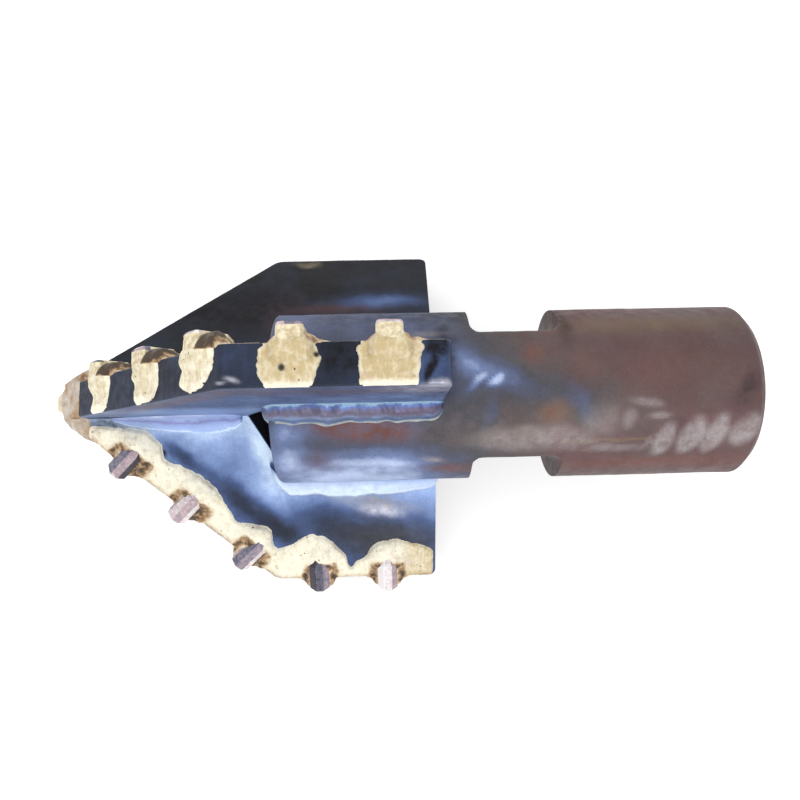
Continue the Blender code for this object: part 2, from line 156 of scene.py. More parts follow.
def noise(points: np.ndarray, size: float, seed: int) -> np.ndarray:
    """Smooth random field from -1 to 1.

    Random values sit at the corners of cubic cells, and inside a cell they are blended
    along each side by 3t^2 - 2t^3.

    Args:
        points: Points in millimetres.
        size: Side of a cell in millimetres.
        seed: Number that picks the field.

    Returns:
        One value for each point.
    """
    table = np.random.default_rng(seed).uniform(-1, 1, (LATTICE,) * 3)
    cell = points / size
    low = np.floor(cell).astype(int)
    part = cell - low
    part = part * part * (3 - 2 * part)
    total = np.zeros(points.shape[:-1])
    for corner in product((0, 1), repeat=3):
        weight = np.prod(np.where(corner, part, 1 - part), axis=-1)
        i, j, k = np.moveaxis((low + corner) % LATTICE, -1, 0)
        total += weight * table[i, j, k]
    return total


def rough(points: np.ndarray, size: float, seed: int, octaves: int = 3) -> np.ndarray:
    """Sum of noise fields, each half the size and half the strength of the last."""
    return sum(noise(points, size / 2 ** i, seed + i) / 2 ** i for i in range(octaves))


def unit(value: Any) -> np.ndarray:
    """A value kept between 0 and 1."""
    return np.clip(value, 0, 1)


def fall(distance: np.ndarray, power: float = 3) -> np.ndarray:
    """Smooth hill: one half to the power of (distance to a power)."""
    return 0.5 ** (np.abs(distance) ** power)


def quarter(share: np.ndarray) -> np.ndarray:
    """Quarter circle from 0 to 1: the square root of (1 less (1 less the share) squared)."""
    return np.sqrt(1 - (1 - share) ** 2)


def once_round(count: int, turn: float = 2 * pi) -> np.ndarray:
    """Row of angles once round, without the last."""
    return np.linspace(0, turn, count, endpoint=False)[None, :]


def curve(value: np.ndarray, places: tuple[float, ...], heights: tuple[float, ...]) -> np.ndarray:
    """Smooth curve through points.

    Between two points it is the cubic that has their heights, and at each of them the
    slope between its neighbours.

    Args:
        value: Where the curve is read. Past its ends it stays level.
        places: Places of the points, in rising order.
        heights: Their heights.

    Returns:
        The height at each value.
    """
    x, y = np.asarray(places, float), np.asarray(heights, float)
    slope = np.gradient(y, x)
    value = np.clip(value, x[0], x[-1])
    i = np.clip(np.searchsorted(x, value, side="right") - 1, 0, x.size - 2)
    step = x[i + 1] - x[i]
    t = (value - x[i]) / step
    ends = y[i] * (1 + 2 * t) * (1 - t) ** 2 + y[i + 1] * t * t * (3 - 2 * t)
    return ends + step * t * (1 - t) * (slope[i] * (1 - t) - slope[i + 1] * t)


# Meshes

@dataclass
class Skin:
    """A closed surface of rows of points, each row a closed loop.

    The first and last rows are closed by a fan, or joined to each other.
    """
    points: np.ndarray                                  # rows, around, 3 in millimetres
    masks: Masks = field(default_factory=dict)          # rows, around, or one number for all
    joined: bool = False

    def faces(self) -> tuple[np.ndarray, list[np.ndarray]]:
        """Join the points into faces.

        Returns:
            The quads between neighbouring rows, and the triangles of both fans.
        """
        rows, count = self.points.shape[:2]
        index = np.arange(rows * count).reshape(rows, count)
        here = index if self.joined else index[:-1]
        there = np.roll(index, -1, axis=0) if self.joined else index[1:]
        quads = np.stack([here, np.roll(here, -1, 1), np.roll(there, -1, 1), there], -1).reshape(-1, 4)
        ends = () if self.joined else ((index[0][::-1], rows * count), (index[-1], rows * count + 1))
        return quads, [np.stack([ring, np.roll(ring, -1), np.full(count, centre)], -1) for ring, centre in ends]

    def mesh(self, name: str, sharp: float) -> bpy.types.Mesh:
        """Blender mesh of the surface, with its masks as point attributes.

        Args:
            name: Name of the mesh.
            sharp: Angle in degrees past which an edge is shaded sharp.

        Returns:
            The mesh, with its faces outwards.
        """
        quads, fans = self.faces()
        points = self.points.reshape(-1, 3)
        masks = {key: np.broadcast_to(value, self.points.shape[:2]) for key, value in self.masks.items()}
        if fans:
            points = np.vstack([points, self.points[0].mean(0), self.points[-1].mean(0)])
            masks = {key: np.append(value, [value[0].mean(), value[-1].mean()])
                     for key, value in masks.items()}
        triangles = np.vstack([quads[:, :3], quads[:, [0, 2, 3]], *fans])
        a, b, c = np.moveaxis(points[triangles], 1, 0)
        if np.einsum("ij,ij->", a, np.cross(b, c)) < 0:
            quads, fans = quads[:, ::-1], [fan[:, ::-1] for fan in fans]
        mesh = bpy.data.meshes.new(name)
        mesh.from_pydata((points * MM).tolist(), [], [loop for part in (quads, *fans) for loop in part.tolist()])
        for key, value in masks.items():
            layer = mesh.attributes.new(key, 'FLOAT', 'POINT')
            layer.data.foreach_set("value", value.ravel().astype(np.float32))
        mesh.shade_smooth()
        mesh.set_sharp_from_angle(angle=radians(sharp))
        return mesh


def add_piece(name: str, skin: Skin, finish: Material, nodes: tuple[str, ...],
              sharp: float) -> None:
    """Put a piece in the scene, riding on the bit.

    Args:
        name: Name of the piece.
        skin: Its surface.
        finish: Its material.
        nodes: CAD nodes that it stands for.
        sharp: Angle in degrees past which an edge is shaded sharp.
    """
    mesh = skin.mesh(name, sharp)
    mesh.materials.append(finish)
    made = bpy.data.objects.new(name, mesh)
    bpy.context.scene.collection.objects.link(made)
    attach(made, BODY)
    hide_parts(*nodes)
    log.info("%s: %d faces", name, len(mesh.polygons))


# What lies on the steel

class Stain(Enum):
    """Names of the masks that the finishes read, each from 0 to 1."""
    HEAT = "temper"           # temper colour, from scale to white-blue
    STRAW = "straw"           # yellow-brown oxide and flux
    RUST = "rust"
    BARE = "bare"             # scraped pale metal
    SCORCH = "scorch_and_shade"         # soot, and painted shade in the bore and the mouth


class Face(Enum):
    """Faces of a wing plate."""
    LEADING = 1
    EDGE = 0
    TRAILING = -1


@dataclass(frozen=True)
class Patch:
    """An oval patch on a surface, in that surface's two coordinates."""
    stain: Stain
    a: float
    b: float
    reach_a: float
    reach_b: float
    strength: float = 1.0
    turn: float = 0.0
    power: float = 2.5                # how crisp its border is

    def cover(self, a: np.ndarray, b: np.ndarray) -> np.ndarray:
        """Strength at each point: a hill over the distance in the patch's own turned axes."""
        c, s = cos(radians(self.turn)), sin(radians(self.turn))
        along = ((a - self.a) * c + (b - self.b) * s) / self.reach_a
        across = ((b - self.b) * c - (a - self.a) * s) / self.reach_b
        return self.strength * fall(np.hypot(along, across), self.power)


Patches = tuple[Patch, ...]


def listed(rows: dict[Stain, tuple[tuple[float, ...], ...]]) -> Patches:
    """Patches from rows of their numbers, as in the fields of a patch, grouped by stain."""
    return tuple(Patch(stain, *row) for stain, group in rows.items() for row in group)


def painted(patches: Patches, a: np.ndarray, b: np.ndarray, points: np.ndarray, seed: int,
            wander: float) -> Masks:
    """Masks of a surface from its patches, with their borders pushed about by noise.

    Heat patches add up, and of any other stain the strongest patch counts.

    Args:
        patches: The patches.
        a: First coordinate of each point.
        b: Second coordinate of each point.
        points: The points in space, for the noise.
        seed: Number that picks the noise.
        wander: How far the borders are pushed, in millimetres.

    Returns:
        A mask for each stain.
    """
    a = a + wander * rough(points, 9, seed)
    b = b + wander * rough(points, 9, seed + 7)
    masks = {stain.value: np.zeros(a.shape) for stain in Stain}
    for patch in patches:
        key = patch.stain.value
        cover = patch.cover(a, b)
        masks[key] = masks[key] + cover if patch.stain is Stain.HEAT else np.maximum(masks[key], cover)
    return masks


# Node trees

class Graph:
    """Shorthand for the node tree of a material or of the world."""

    def __init__(self, owner: Any, output: str = 'ShaderNodeOutputMaterial') -> None:
        """Start with an empty tree and its output.

        Args:
            owner: The material or world.
            output: Blender's name of the output node.
        """
        owner.use_nodes = True
        self.owner = owner
        self.tree = owner.node_tree
        self.tree.nodes.clear()
        self.output = self.add(output)

    @cached_property
    def coords(self) -> Socket:
        """The piece's own coordinates."""
        return self.add('ShaderNodeTexCoord').outputs['Object']

    def add(self, kind: str, sockets: dict[Any, Any] | None = None, **settings: Any) -> bpy.types.Node:
        """Add a node.

        Args:
            kind: Blender's name of the node.
            sockets: Value or source of each input.
            settings: Properties of the node.

        Returns:
            The node.
        """
        made = self.tree.nodes.new(kind)
        for key, value in settings.items():
            setattr(made, key, value)
        for key, value in (sockets or {}).items():
            if isinstance(value, Socket):
                self.tree.links.new(value, made.inputs[key])
            else:
                made.inputs[key].default_value = value
        return made

    def math(self, operation: str, *values: Any, clamp: bool = False) -> Socket:
        """Arithmetic on sockets and numbers."""
        return self.add('ShaderNodeMath', dict(enumerate(values)), operation=operation, use_clamp=clamp).outputs[0]

    def times(self, *values: Any, clamp: bool = False) -> Socket:
        """Product of two sockets or numbers."""
        return self.math('MULTIPLY', *values, clamp=clamp)

    def plus(self, *values: Any, clamp: bool = False) -> Socket:
        """Sum of two sockets or numbers."""
        return self.math('ADD', *values, clamp=clamp)

    def swing(self, value: Any, strength: float) -> Socket:
        """How far a value is from one half, times a strength."""
        return self.times(self.math('SUBTRACT', value, 0.5), strength)

    def mask(self, name: str) -> Socket:
        """One of the mesh's masks."""
        return self.add('ShaderNodeAttribute', attribute_name=name).outputs['Fac']

    def noise(self, size: float, detail: float = 4, where: Any = None) -> Socket:
        """Noise from 0 to 1 with features of a size in millimetres."""
        return self.add('ShaderNodeTexNoise', {
            'Vector': where or self.coords, 'Scale': 1 / (size * MM), 'Detail': detail, 'Roughness': 0.6,
        }).outputs['Fac']

    def spots(self, size: float, share: float) -> Socket:
        """Round spots about one size apart, 1 inside, that cover a share of each cell."""
        cells = self.add('ShaderNodeTexVoronoi', {'Vector': self.coords, 'Scale': 1 / (size * MM)})
        return self.range(cells.outputs['Distance'], share, share * 0.4)

    def surface(self, along: float, across: float) -> Socket:
        """Vector of the mesh's own two coordinates, each stretched to a size in millimetres."""
        return self.add('ShaderNodeCombineXYZ', {
            0: self.math('DIVIDE', self.mask("along"), along / MM),
            1: self.math('DIVIDE', self.mask("across"), across / MM),
        }).outputs[0]

    def range(self, value: Any, low: float, high: float, to_low: float = 0, to_high: float = 1) -> Socket:
        """Smooth step of a value from one range to another."""
        return self.add('ShaderNodeMapRange', {0: value, 1: low, 2: high, 3: to_low, 4: to_high},
                        interpolation_type='SMOOTHSTEP').outputs[0]

    def mix(self, share: Any, a: Any, b: Any, blend: str = 'MIX') -> Socket:
        """Blend of two colours."""
        a, b = (c if isinstance(c, Socket) else (*c, 1) for c in (a, b))
        return self.add('ShaderNodeMix', {0: share, 6: a, 7: b}, data_type='RGBA', blend_type=blend).outputs[2]

    def shaded(self, colour: Any, shade: Any) -> Socket:
        """A colour made darker or lighter all alike."""
        grey = self.add('ShaderNodeCombineColor', {0: shade, 1: shade, 2: shade}).outputs[0]
        return self.mix(1.0, colour, grey, 'MULTIPLY')

    def ramp(self, value: Any, stops: Stops) -> Socket:
        """Colour of a value along a row of stops.

        Args:
            value: The value.
            stops: Places from 0 to 1, each with its colour.

        Returns:
            The colour.
        """
        made = self.add('ShaderNodeValToRGB', {0: value})
        row = made.color_ramp.elements
        while len(row) < len(stops):
            row.new(0.5)
        for element, (place, colour) in zip(row, stops):
            element.position = place
            element.color = (*colour, 1)
        return made.outputs[0]

    def close(self, shader: Socket) -> Any:
        """Join a shader to the output and give back what owns the tree."""
        self.tree.links.new(shader, self.output.inputs['Surface'])
        return self.owner

    def finish(self, colour: Any, roughness: Any, height: Any, depth: float, metallic: float,
               specular: float = 0.5) -> Material:
        """Close the tree with a Principled shader.

        Args:
            colour: Base colour.
            roughness: Roughness.
            height: Height of the bump, from 0 to 1.
            depth: Its depth in millimetres.
            metallic: How metallic the surface is.
            specular: Strength of its clear reflections.

        Returns:
            The material.
        """
        normal = self.add('ShaderNodeBump', {'Strength': 1.0, 'Distance': depth * MM, 'Height': height}).outputs[0]
        return self.close(self.add('ShaderNodeBsdfPrincipled', {
            'Base Color': colour, 'Roughness': roughness, 'Normal': normal, 'Metallic': metallic,
            'Specular IOR Level': specular,
        }).outputs[0])


# Finishes

@dataclass(frozen=True)
class SteelFinish:
    """Scaled steel, tinted by heat and marked by whatever lies on it."""
    name: str
    temper: Stops                                 # colour by heat
    straw: Triple = (0.36, 0.30, 0.20)
    rust: Triple = (0.165, 0.075, 0.065)
    bare: Triple = (0.62, 0.62, 0.70)
    scorch_and_shade: Triple = (0.012, 0.012, 0.016)
    roughness: float = 0.42
    metallic: float = 0.45
    streak: float = 0.22                          # strength of the fine lines across

    def material(self) -> Material:
        """Temper colour by heat and noise, stains and painted shade over it, and fine lines and grain.

        Returns:
            The material.
        """
        g = Graph(bpy.data.materials.new(self.name))
        broad, middle, fine = g.noise(22), g.noise(5), g.noise(0.9, 3)
        lines = g.noise(1, 3, g.surface(0.7, 14))
        heat = g.plus(g.plus(g.mask("temper"), g.swing(broad, 0.30)), g.swing(middle, 0.16), clamp=True)
        colour = g.ramp(heat, self.temper)
        speckle = g.range(middle, 0.3, 0.7, 0.55, 1.25)
        tints = {Stain.STRAW: self.straw, Stain.RUST: self.rust, Stain.BARE: self.bare, Stain.SCORCH: self.scorch_and_shade}
        for stain, tint in tints.items():
            colour = g.mix(g.times(g.mask(stain.value), speckle, clamp=True), colour, tint)
        shade = g.plus(g.range(fine, 0.25, 0.75, 0.90, 1.08), g.swing(lines, self.streak))
        colour = g.shaded(colour, g.times(shade, g.range(broad, 0.3, 0.7, 0.9, 1.08)))
        rough_map = g.plus(g.range(middle, 0.3, 0.7, self.roughness - 0.08, self.roughness + 0.10),
                           g.times(g.mask("scorch_and_shade"), 0.25))
        height = g.plus(g.times(fine, 0.5), g.times(lines, 0.5))
        return g.finish(colour, rough_map, height, depth=0.07, metallic=self.metallic, specular=0.22)


@dataclass(frozen=True)
class BrazeFinish:
    """Brass braze: brushed pale yellow, olive brown in its hollows from tarnish and painted shade, and pitted."""
    name: str = "brass_braze"
    pale: Triple = (0.93, 0.88, 0.71)
    gold: Triple = (0.56, 0.44, 0.235)
    pink: Triple = (0.62, 0.45, 0.40)
    olive: Triple = (0.42, 0.34, 0.16)
    burnt: Triple = (0.40, 0.24, 0.115)
    tarnish_and_shade: Triple = (0.060, 0.038, 0.020)
    pit: Triple = (0.015, 0.012, 0.010)

    def material(self) -> Material:
        """Gold and pale by noise and mask, pink blooms, tarnish and painted shade by mask, and dark pits.

        Returns:
            The material.
        """
        g = Graph(bpy.data.materials.new(self.name))
        broad, middle, fine = g.noise(9), g.noise(3.2), g.noise(0.7, 3)
        brushed = g.add('ShaderNodeMapping', {'Vector': g.coords, 'Scale': (1, 0.22, 0.22)}).outputs[0]
        wander = g.plus(g.swing(middle, 1.7), g.swing(g.noise(1.3, 3, brushed), 1.1))
        colour = g.mix(g.plus(g.mask("bright"), wander, clamp=True), self.gold, self.pale)
        colour = g.mix(g.times(g.range(broad, 0.55, 0.68), 0.45), colour, self.pink)
        colour = g.mix(g.times(g.range(g.noise(5.5), 0.60, 0.74), 0.5), colour, self.olive)
        # Where the mask holds tarnish and painted shade, the braze turns burnt brown and then dark brown.
        stain = g.times(g.mask("tarnish_and_shade"), g.range(middle, 0.35, 0.65, 0.55, 1.45))
        colour = g.mix(g.range(stain, 0.05, 0.5), colour, self.burnt)
        colour = g.mix(g.range(stain, 0.35, 0.95), colour, self.tarnish_and_shade)
        pits = g.times(g.spots(3.4, 0.16), g.range(g.noise(7), 0.50, 0.58))
        pits = g.math('MAXIMUM', pits, g.mask("pit"))
        colour = g.shaded(g.mix(pits, colour, self.pit), g.range(fine, 0.25, 0.75, 0.90, 1.06))
        height = g.math('SUBTRACT', g.plus(g.times(middle, 2.0), fine), g.times(pits, 2.5))
        return g.finish(colour, g.range(middle, 0.3, 0.7, 0.45, 0.65), height, depth=0.20, metallic=0.10)


@dataclass(frozen=True)
class CarbideFinish:
    """Worn carbide: grey and mauve with dark and bright facets, under a skin of braze."""
    name: str = "worn_carbide"
    grey: Triple = (0.15, 0.15, 0.21)
    mauve: Triple = (0.48, 0.36, 0.38)
    pale: Triple = (0.80, 0.76, 0.76)
    dark: Triple = (0.035, 0.028, 0.04)
    coat: Triple = (0.80, 0.72, 0.52)
    thin_coat: Triple = (0.55, 0.45, 0.27)

    def material(self) -> Material:
        """Facets of four tones by noise, then braze where the coat mask says.

        Returns:
            The material.
        """
        g = Graph(bpy.data.materials.new(self.name))
        broad, middle, fine = g.noise(6), g.noise(2.2), g.noise(0.6, 3)
        tone = g.plus(g.mask("tone"), g.swing(middle, 0.8), clamp=True)
        colour = g.ramp(tone, ((0.0, self.dark), (0.25, self.grey), (0.6, self.mauve), (0.95, self.pale)))
        coated = g.range(g.plus(g.mask("coat"), g.swing(broad, 0.8)), 0.45, 0.60)
        colour = g.mix(coated, colour, g.mix(g.range(middle, 0.35, 0.65), self.thin_coat, self.coat))
        height = g.plus(g.times(middle, 1.5), fine)
        return g.finish(colour, g.range(fine, 0.3, 0.7, 0.30, 0.55), height, depth=0.15, metallic=0.40)


@dataclass(frozen=True)
class BeadFinish:
    """Weld bead: bands of temper colour from one toe to the other, in some with painted highlights and shade, over fine
    ripples.
    """
    name: str
    bands: Stops
    glow: Triple = (0.62, 0.74, 0.90)

    def material(self) -> Material:
        """Bands by the share across, wavering with noise, and white-blue by heat, which on the crown is partly a
        painted highlight.

        Returns:
            The material.
        """
        g = Graph(bpy.data.materials.new(self.name))
        broad, middle, fine = g.noise(14), g.noise(4), g.noise(0.8, 3)
        waver = g.plus(g.swing(broad, 0.55), g.swing(middle, 0.26))
        colour = g.ramp(g.plus(g.mask("share"), waver, clamp=True), self.bands)
        heat = g.times(g.mask("temper"), g.range(middle, 0.3, 0.7, 0.75, 1.1), clamp=True)
        colour = g.shaded(g.mix(heat, colour, self.glow), g.range(fine, 0.25, 0.75, 0.93, 1.06))
        return g.finish(colour, g.range(middle, 0.3, 0.7, 0.30, 0.46), fine, depth=0.05, metallic=0.55, specular=0.3)


WING_TEMPER = (
    (0.00, (0.014, 0.014, 0.018)), (0.22, (0.026, 0.035, 0.064)), (0.42, (0.060, 0.095, 0.215)),
    (0.62, (0.150, 0.225, 0.430)), (0.82, (0.270, 0.370, 0.620)), (1.00, (0.560, 0.690, 0.860)),
)
SHANK_TEMPER = (
    (0.00, (0.142, 0.070, 0.073)), (0.22, (0.112, 0.084, 0.082)), (0.42, (0.080, 0.079, 0.094)),
    (0.62, (0.088, 0.102, 0.168)), (0.82, (0.150, 0.200, 0.360)), (1.00, (0.44, 0.52, 0.74)),
)
FOOT_BANDS = (
    (0.00, (0.22, 0.34, 0.46)), (0.07, (0.26, 0.40, 0.52)), (0.16, (0.055, 0.10, 0.30)),
    (0.32, (0.070, 0.045, 0.095)), (0.50, (0.095, 0.070, 0.125)), (0.66, (0.15, 0.21, 0.38)),
    (0.84, (0.09, 0.15, 0.32)), (0.95, (0.36, 0.39, 0.36)),
)
# Groove bead: lavender blue, darker purple blue in the middle, with painted highlights along both toes.
GROOVE_BANDS_WITH_HIGHLIGHTS = (
    (0.00, (0.62, 0.70, 0.92)), (0.10, (0.42, 0.50, 0.82)), (0.28, (0.32, 0.42, 0.72)),
    (0.46, (0.23, 0.25, 0.50)), (0.62, (0.32, 0.42, 0.74)), (0.86, (0.38, 0.51, 0.82)),
    (0.94, (0.66, 0.78, 0.96)), (1.00, (0.36, 0.49, 0.78)),
)
# Bright bead: palest on its crown as a painted highlight, with painted shade towards both toes.
BRIGHT_BANDS_WITH_HIGHLIGHT = (
    (0.00, (0.20, 0.28, 0.50)), (0.22, (0.30, 0.40, 0.66)), (0.50, (0.42, 0.52, 0.78)),
    (0.78, (0.30, 0.40, 0.68)), (1.00, (0.18, 0.26, 0.50)),
)


# Sub-assemblies

SHANK_PATCHES = listed({              # station and degrees from the first wing
    Stain.RUST: (
        (161, 27, 25, 8.5, 0.95, 8, 4), (206, 63, 12, 5, 0.8), (246, -21, 4, 6, 0.9), (305, 61, 42, 6, 0.9),
        (320, -8, 30, 14, 0.35), (270, -6, 9, 12, 0.5), (255, 19, 5, 6, 0.45), (140, 52, 8, 8, 0.40),
    ),
    Stain.STRAW: (
        (130, 16, 10, 4, 0.7), (255, 19, 7, 7, 0.7), (236, 35, 20, 6, 0.4), (281, 39, 24, 1.4, 0.9, 0, 4),
        (300, -42, 44, 8, 0.6),
    ),
    Stain.BARE: (
        (197, 53, 4, 2.0, 0.9, 10), (248, 37, 30, 8.5, 0.62, 0, 4), (277, 27, 8, 10, 0.45),
        (284, 45.5, 15, 3.4, 0.45, 0, 5), (300, 42, 7, 1.3, 0.55, -60, 4), (298.5, 13.5, 7.5, 2.6, 0.50, 12, 4),
        (305.5, 22.5, 4.6, 2.4, 0.55, -10, 4), (282, 21.5, 4, 6, 0.40), (291, 24.5, 3.6, 6.5, 0.50, 0, 4),
        (308.5, 40, 12.0, 4.8, 0.85, -75, 6), (322.5, 38, 13.0, 6.2, 0.90, -75, 6),
        (334.5, 37, 13.5, 5.2, 0.90, -77, 6), (348.0, 34, 12.0, 6.2, 0.80, -72, 6),
        (192, -36, 13, 2.6, 0.35, 0, 4),
    ),
    Stain.SCORCH: (
        (203, -20, 4, 22, 0.6), (348, 6, 11, 4, 0.45, -65), (263, -50, 3, 20, 0.4), (190, -62, 60, 14, 0.45),
    ),
    Stain.HEAT: (
        (216.3, -0.5, 7.0, 2.2, 0.30, -52, 4), (226, -2, 5.5, 2.8, 0.30, -47, 4), (231, -4, 15, 8, 0.34, 38),
        (213, -14, 12, 6, 0.32, 62), (127, 38, 7, 24, 0.24), (165, 60, 36, 15, 0.26), (165, 84, 48, 14, 0.30),
        (160, 54, 24, 3, 0.12, 4), (137, 51, 6, 4, -0.12), (160, 38, 30, 4, -0.15), (262, 8, 18, 14, 0.30),
        (268, 17, 5, 13, 0.26, -20), (223.5, 18, 2.6, 8, 0.22, 15), (200, 30, 14, 16, -0.20),
    ),
})


@dataclass
class Shank:
    """Bored shank with wrench flats and a threaded socket."""
    bit: Bit
    bore: float = 20.0
    front_bevel: float = 3.0
    rear_bevel: float = 4.0
    mouth_radius: float = 34.13
    mouth_depth: float = 15.9
    cone_base: float = 33.34          # radius of the socket's taper at the mouth
    taper: float = 1 / 8
    socket_depth: float = 92.0
    pitch: float = 5.08
    thread_height: float = 2.6
    thread_runout: float = 6.0
    flat_front: float = 216.0
    flat_rear: float = 261.0
    flat_floor: float = 31.25
    flat_fillet: float = 5.0
    flat_turn: float = -83.0          # of the first flat from the first wing
    step: float = 0.02                # length of the step at a flat's end
    rim: float = 0.6                  # width of the small face at each corner of the mouth
    turn: float = 97.0                # of the grid, so that a row of points runs down each flat's middle
    along: int = 150
    around: int = 216
    heat: tuple[float, float] = (0.60, 0.14)          # at the wings and at the socket
    cooling: tuple[float, float] = (188.0, 254.0)     # stations between which it falls
    inside_shade: float = 0.75                # painted shade in the bore and the socket
    wander: float = 1.3               # of the stains' borders

    def outside(self) -> np.ndarray:
        """Closed half section, from the bore's front round the outside and back.

        The bevels are a quarter circle in front and straight behind, and the socket
        narrows by the taper times the depth down to the bore.

        Returns:
            A row of stations over a row of radii.
        """
        b = self.bit
        turn = np.linspace(0, pi / 2, 5)[:-1]
        back = np.linspace(0.1, 1, 4)
        fillets = np.linspace(0, self.flat_fillet, 6)[1:]
        stations = np.unique(np.concatenate([
            np.linspace(b.shank_front + self.front_bevel, b.shank_end - self.rear_bevel, self.along),
            [self.flat_front - self.step, self.flat_front, self.flat_rear, self.flat_rear + self.step],
            self.flat_front + fillets, self.flat_rear - fillets]))
        depth = np.linspace(self.mouth_depth, self.socket_depth, self.along)
        throat = self.cone_base - self.socket_depth * self.taper
        front_bore = b.shank_end - self.socket_depth - (throat - self.bore)
        parts = [
            (b.shank_front, np.linspace(self.bore + 1, b.shank_radius - self.front_bevel - 0.5, 5)),
            (b.shank_front + self.front_bevel * (1 - np.cos(turn)),
             b.shank_radius - self.front_bevel * (1 - np.sin(turn))),
            (stations, b.shank_radius),
            (b.shank_end - self.rear_bevel * (1 - back), b.shank_radius - self.rear_bevel * back),
            (b.shank_end, np.linspace(b.shank_radius - self.rear_bevel - self.rim, self.mouth_radius + self.rim, 3)),
            (b.shank_end - np.linspace(self.rim, self.mouth_depth, 8), self.mouth_radius),
            (b.shank_end - depth, self.cone_base - depth * self.taper),
            (np.linspace(front_bore, b.shank_front + 1, 24), self.bore),
        ]
        return np.hstack([np.stack(np.broadcast_arrays(*part)) for part in parts])

    def skin(self) -> Skin:
        """The half section turned about the axis.

        The flats clamp the radius to (floor / |cos of the angle from a flat|), where the
        floor rises by a quarter circle at both ends. The thread takes a wave away from the
        socket's radius, whose phase runs along the axis and once round for each pitch.

        Returns:
            The surface, whose last row joins its first.
        """
        b = self.bit
        station, radius = (row[:, None] for row in self.outside())
        angle = once_round(self.around, 360) - 180 + self.turn
        outer = radius > b.shank_radius - 0.01
        inset = np.minimum(np.minimum(station - self.flat_front, self.flat_rear - station), self.flat_fillet)
        fillet = np.sqrt(np.maximum(self.flat_fillet ** 2 - (self.flat_fillet - inset) ** 2, 0))
        away = np.abs(np.cos(np.radians(angle - self.flat_turn)))
        flat = (self.flat_floor + self.flat_fillet - fillet) / np.maximum(away, 0.05)
        wide = np.where(outer & (inset >= 0), np.minimum(radius, flat), radius)
        depth = b.shank_end - station
        tapered = (radius < self.cone_base) & (depth > self.mouth_depth - 0.01) & (depth < self.socket_depth + 0.01)
        phase = (depth / self.pitch + angle / 360) % 1
        ridge = unit(1.6 - 3.2 * np.abs(phase - 0.5)) * unit((self.socket_depth - depth) / self.thread_runout)
        wide = wide - np.where(tapered, self.thread_height * ridge, 0)
        points = b.place(angle, station, 0.0, wide)
        dent = 0.22 * noise(points, 26, 11) + 0.10 * noise(points, 5, 12) - 0.2
        points = b.place(angle, station, 0.0, wide + np.where(outer, dent, 0))
        return Skin(points, self.masks(station, angle, radius > self.mouth_radius + 0.5, points), joined=True)

    def masks(self, station: np.ndarray, angle: np.ndarray, outer: np.ndarray, points: np.ndarray) -> Masks:
        """Heat that fades back from the wings, the patches, and painted shade in the bore.

        Args:
            station: Station of each row.
            angle: Degrees of each column.
            outer: Where the surface is outside the mouth.
            points: The points in space.

        Returns:
            The masks, and the surface's own two coordinates.
        """
        station, angle = np.broadcast_arrays(station, (angle + 180) % 360 - 180)
        masks = painted(SHANK_PATCHES, station, angle, points, 21, self.wander)
        near, far = self.heat
        front, rear = self.cooling
        cooled = (near - far) * unit((station - front) / (rear - front))
        masks["temper"] = masks["temper"] + near - cooled + 0.10 * noise(points, 30, 22)
        masks["scorch_and_shade"] = np.where(~outer & (station < self.bit.shank_end - 1), self.inside_shade, masks["scorch_and_shade"])
        masks["along"] = station
        masks["across"] = angle * radians(self.bit.shank_radius)
        return masks

    def build(self, finish: Material) -> None:
        """Put the shank in the scene."""
        add_piece("shank", self.skin(), finish, ("shank_body",), sharp=38)


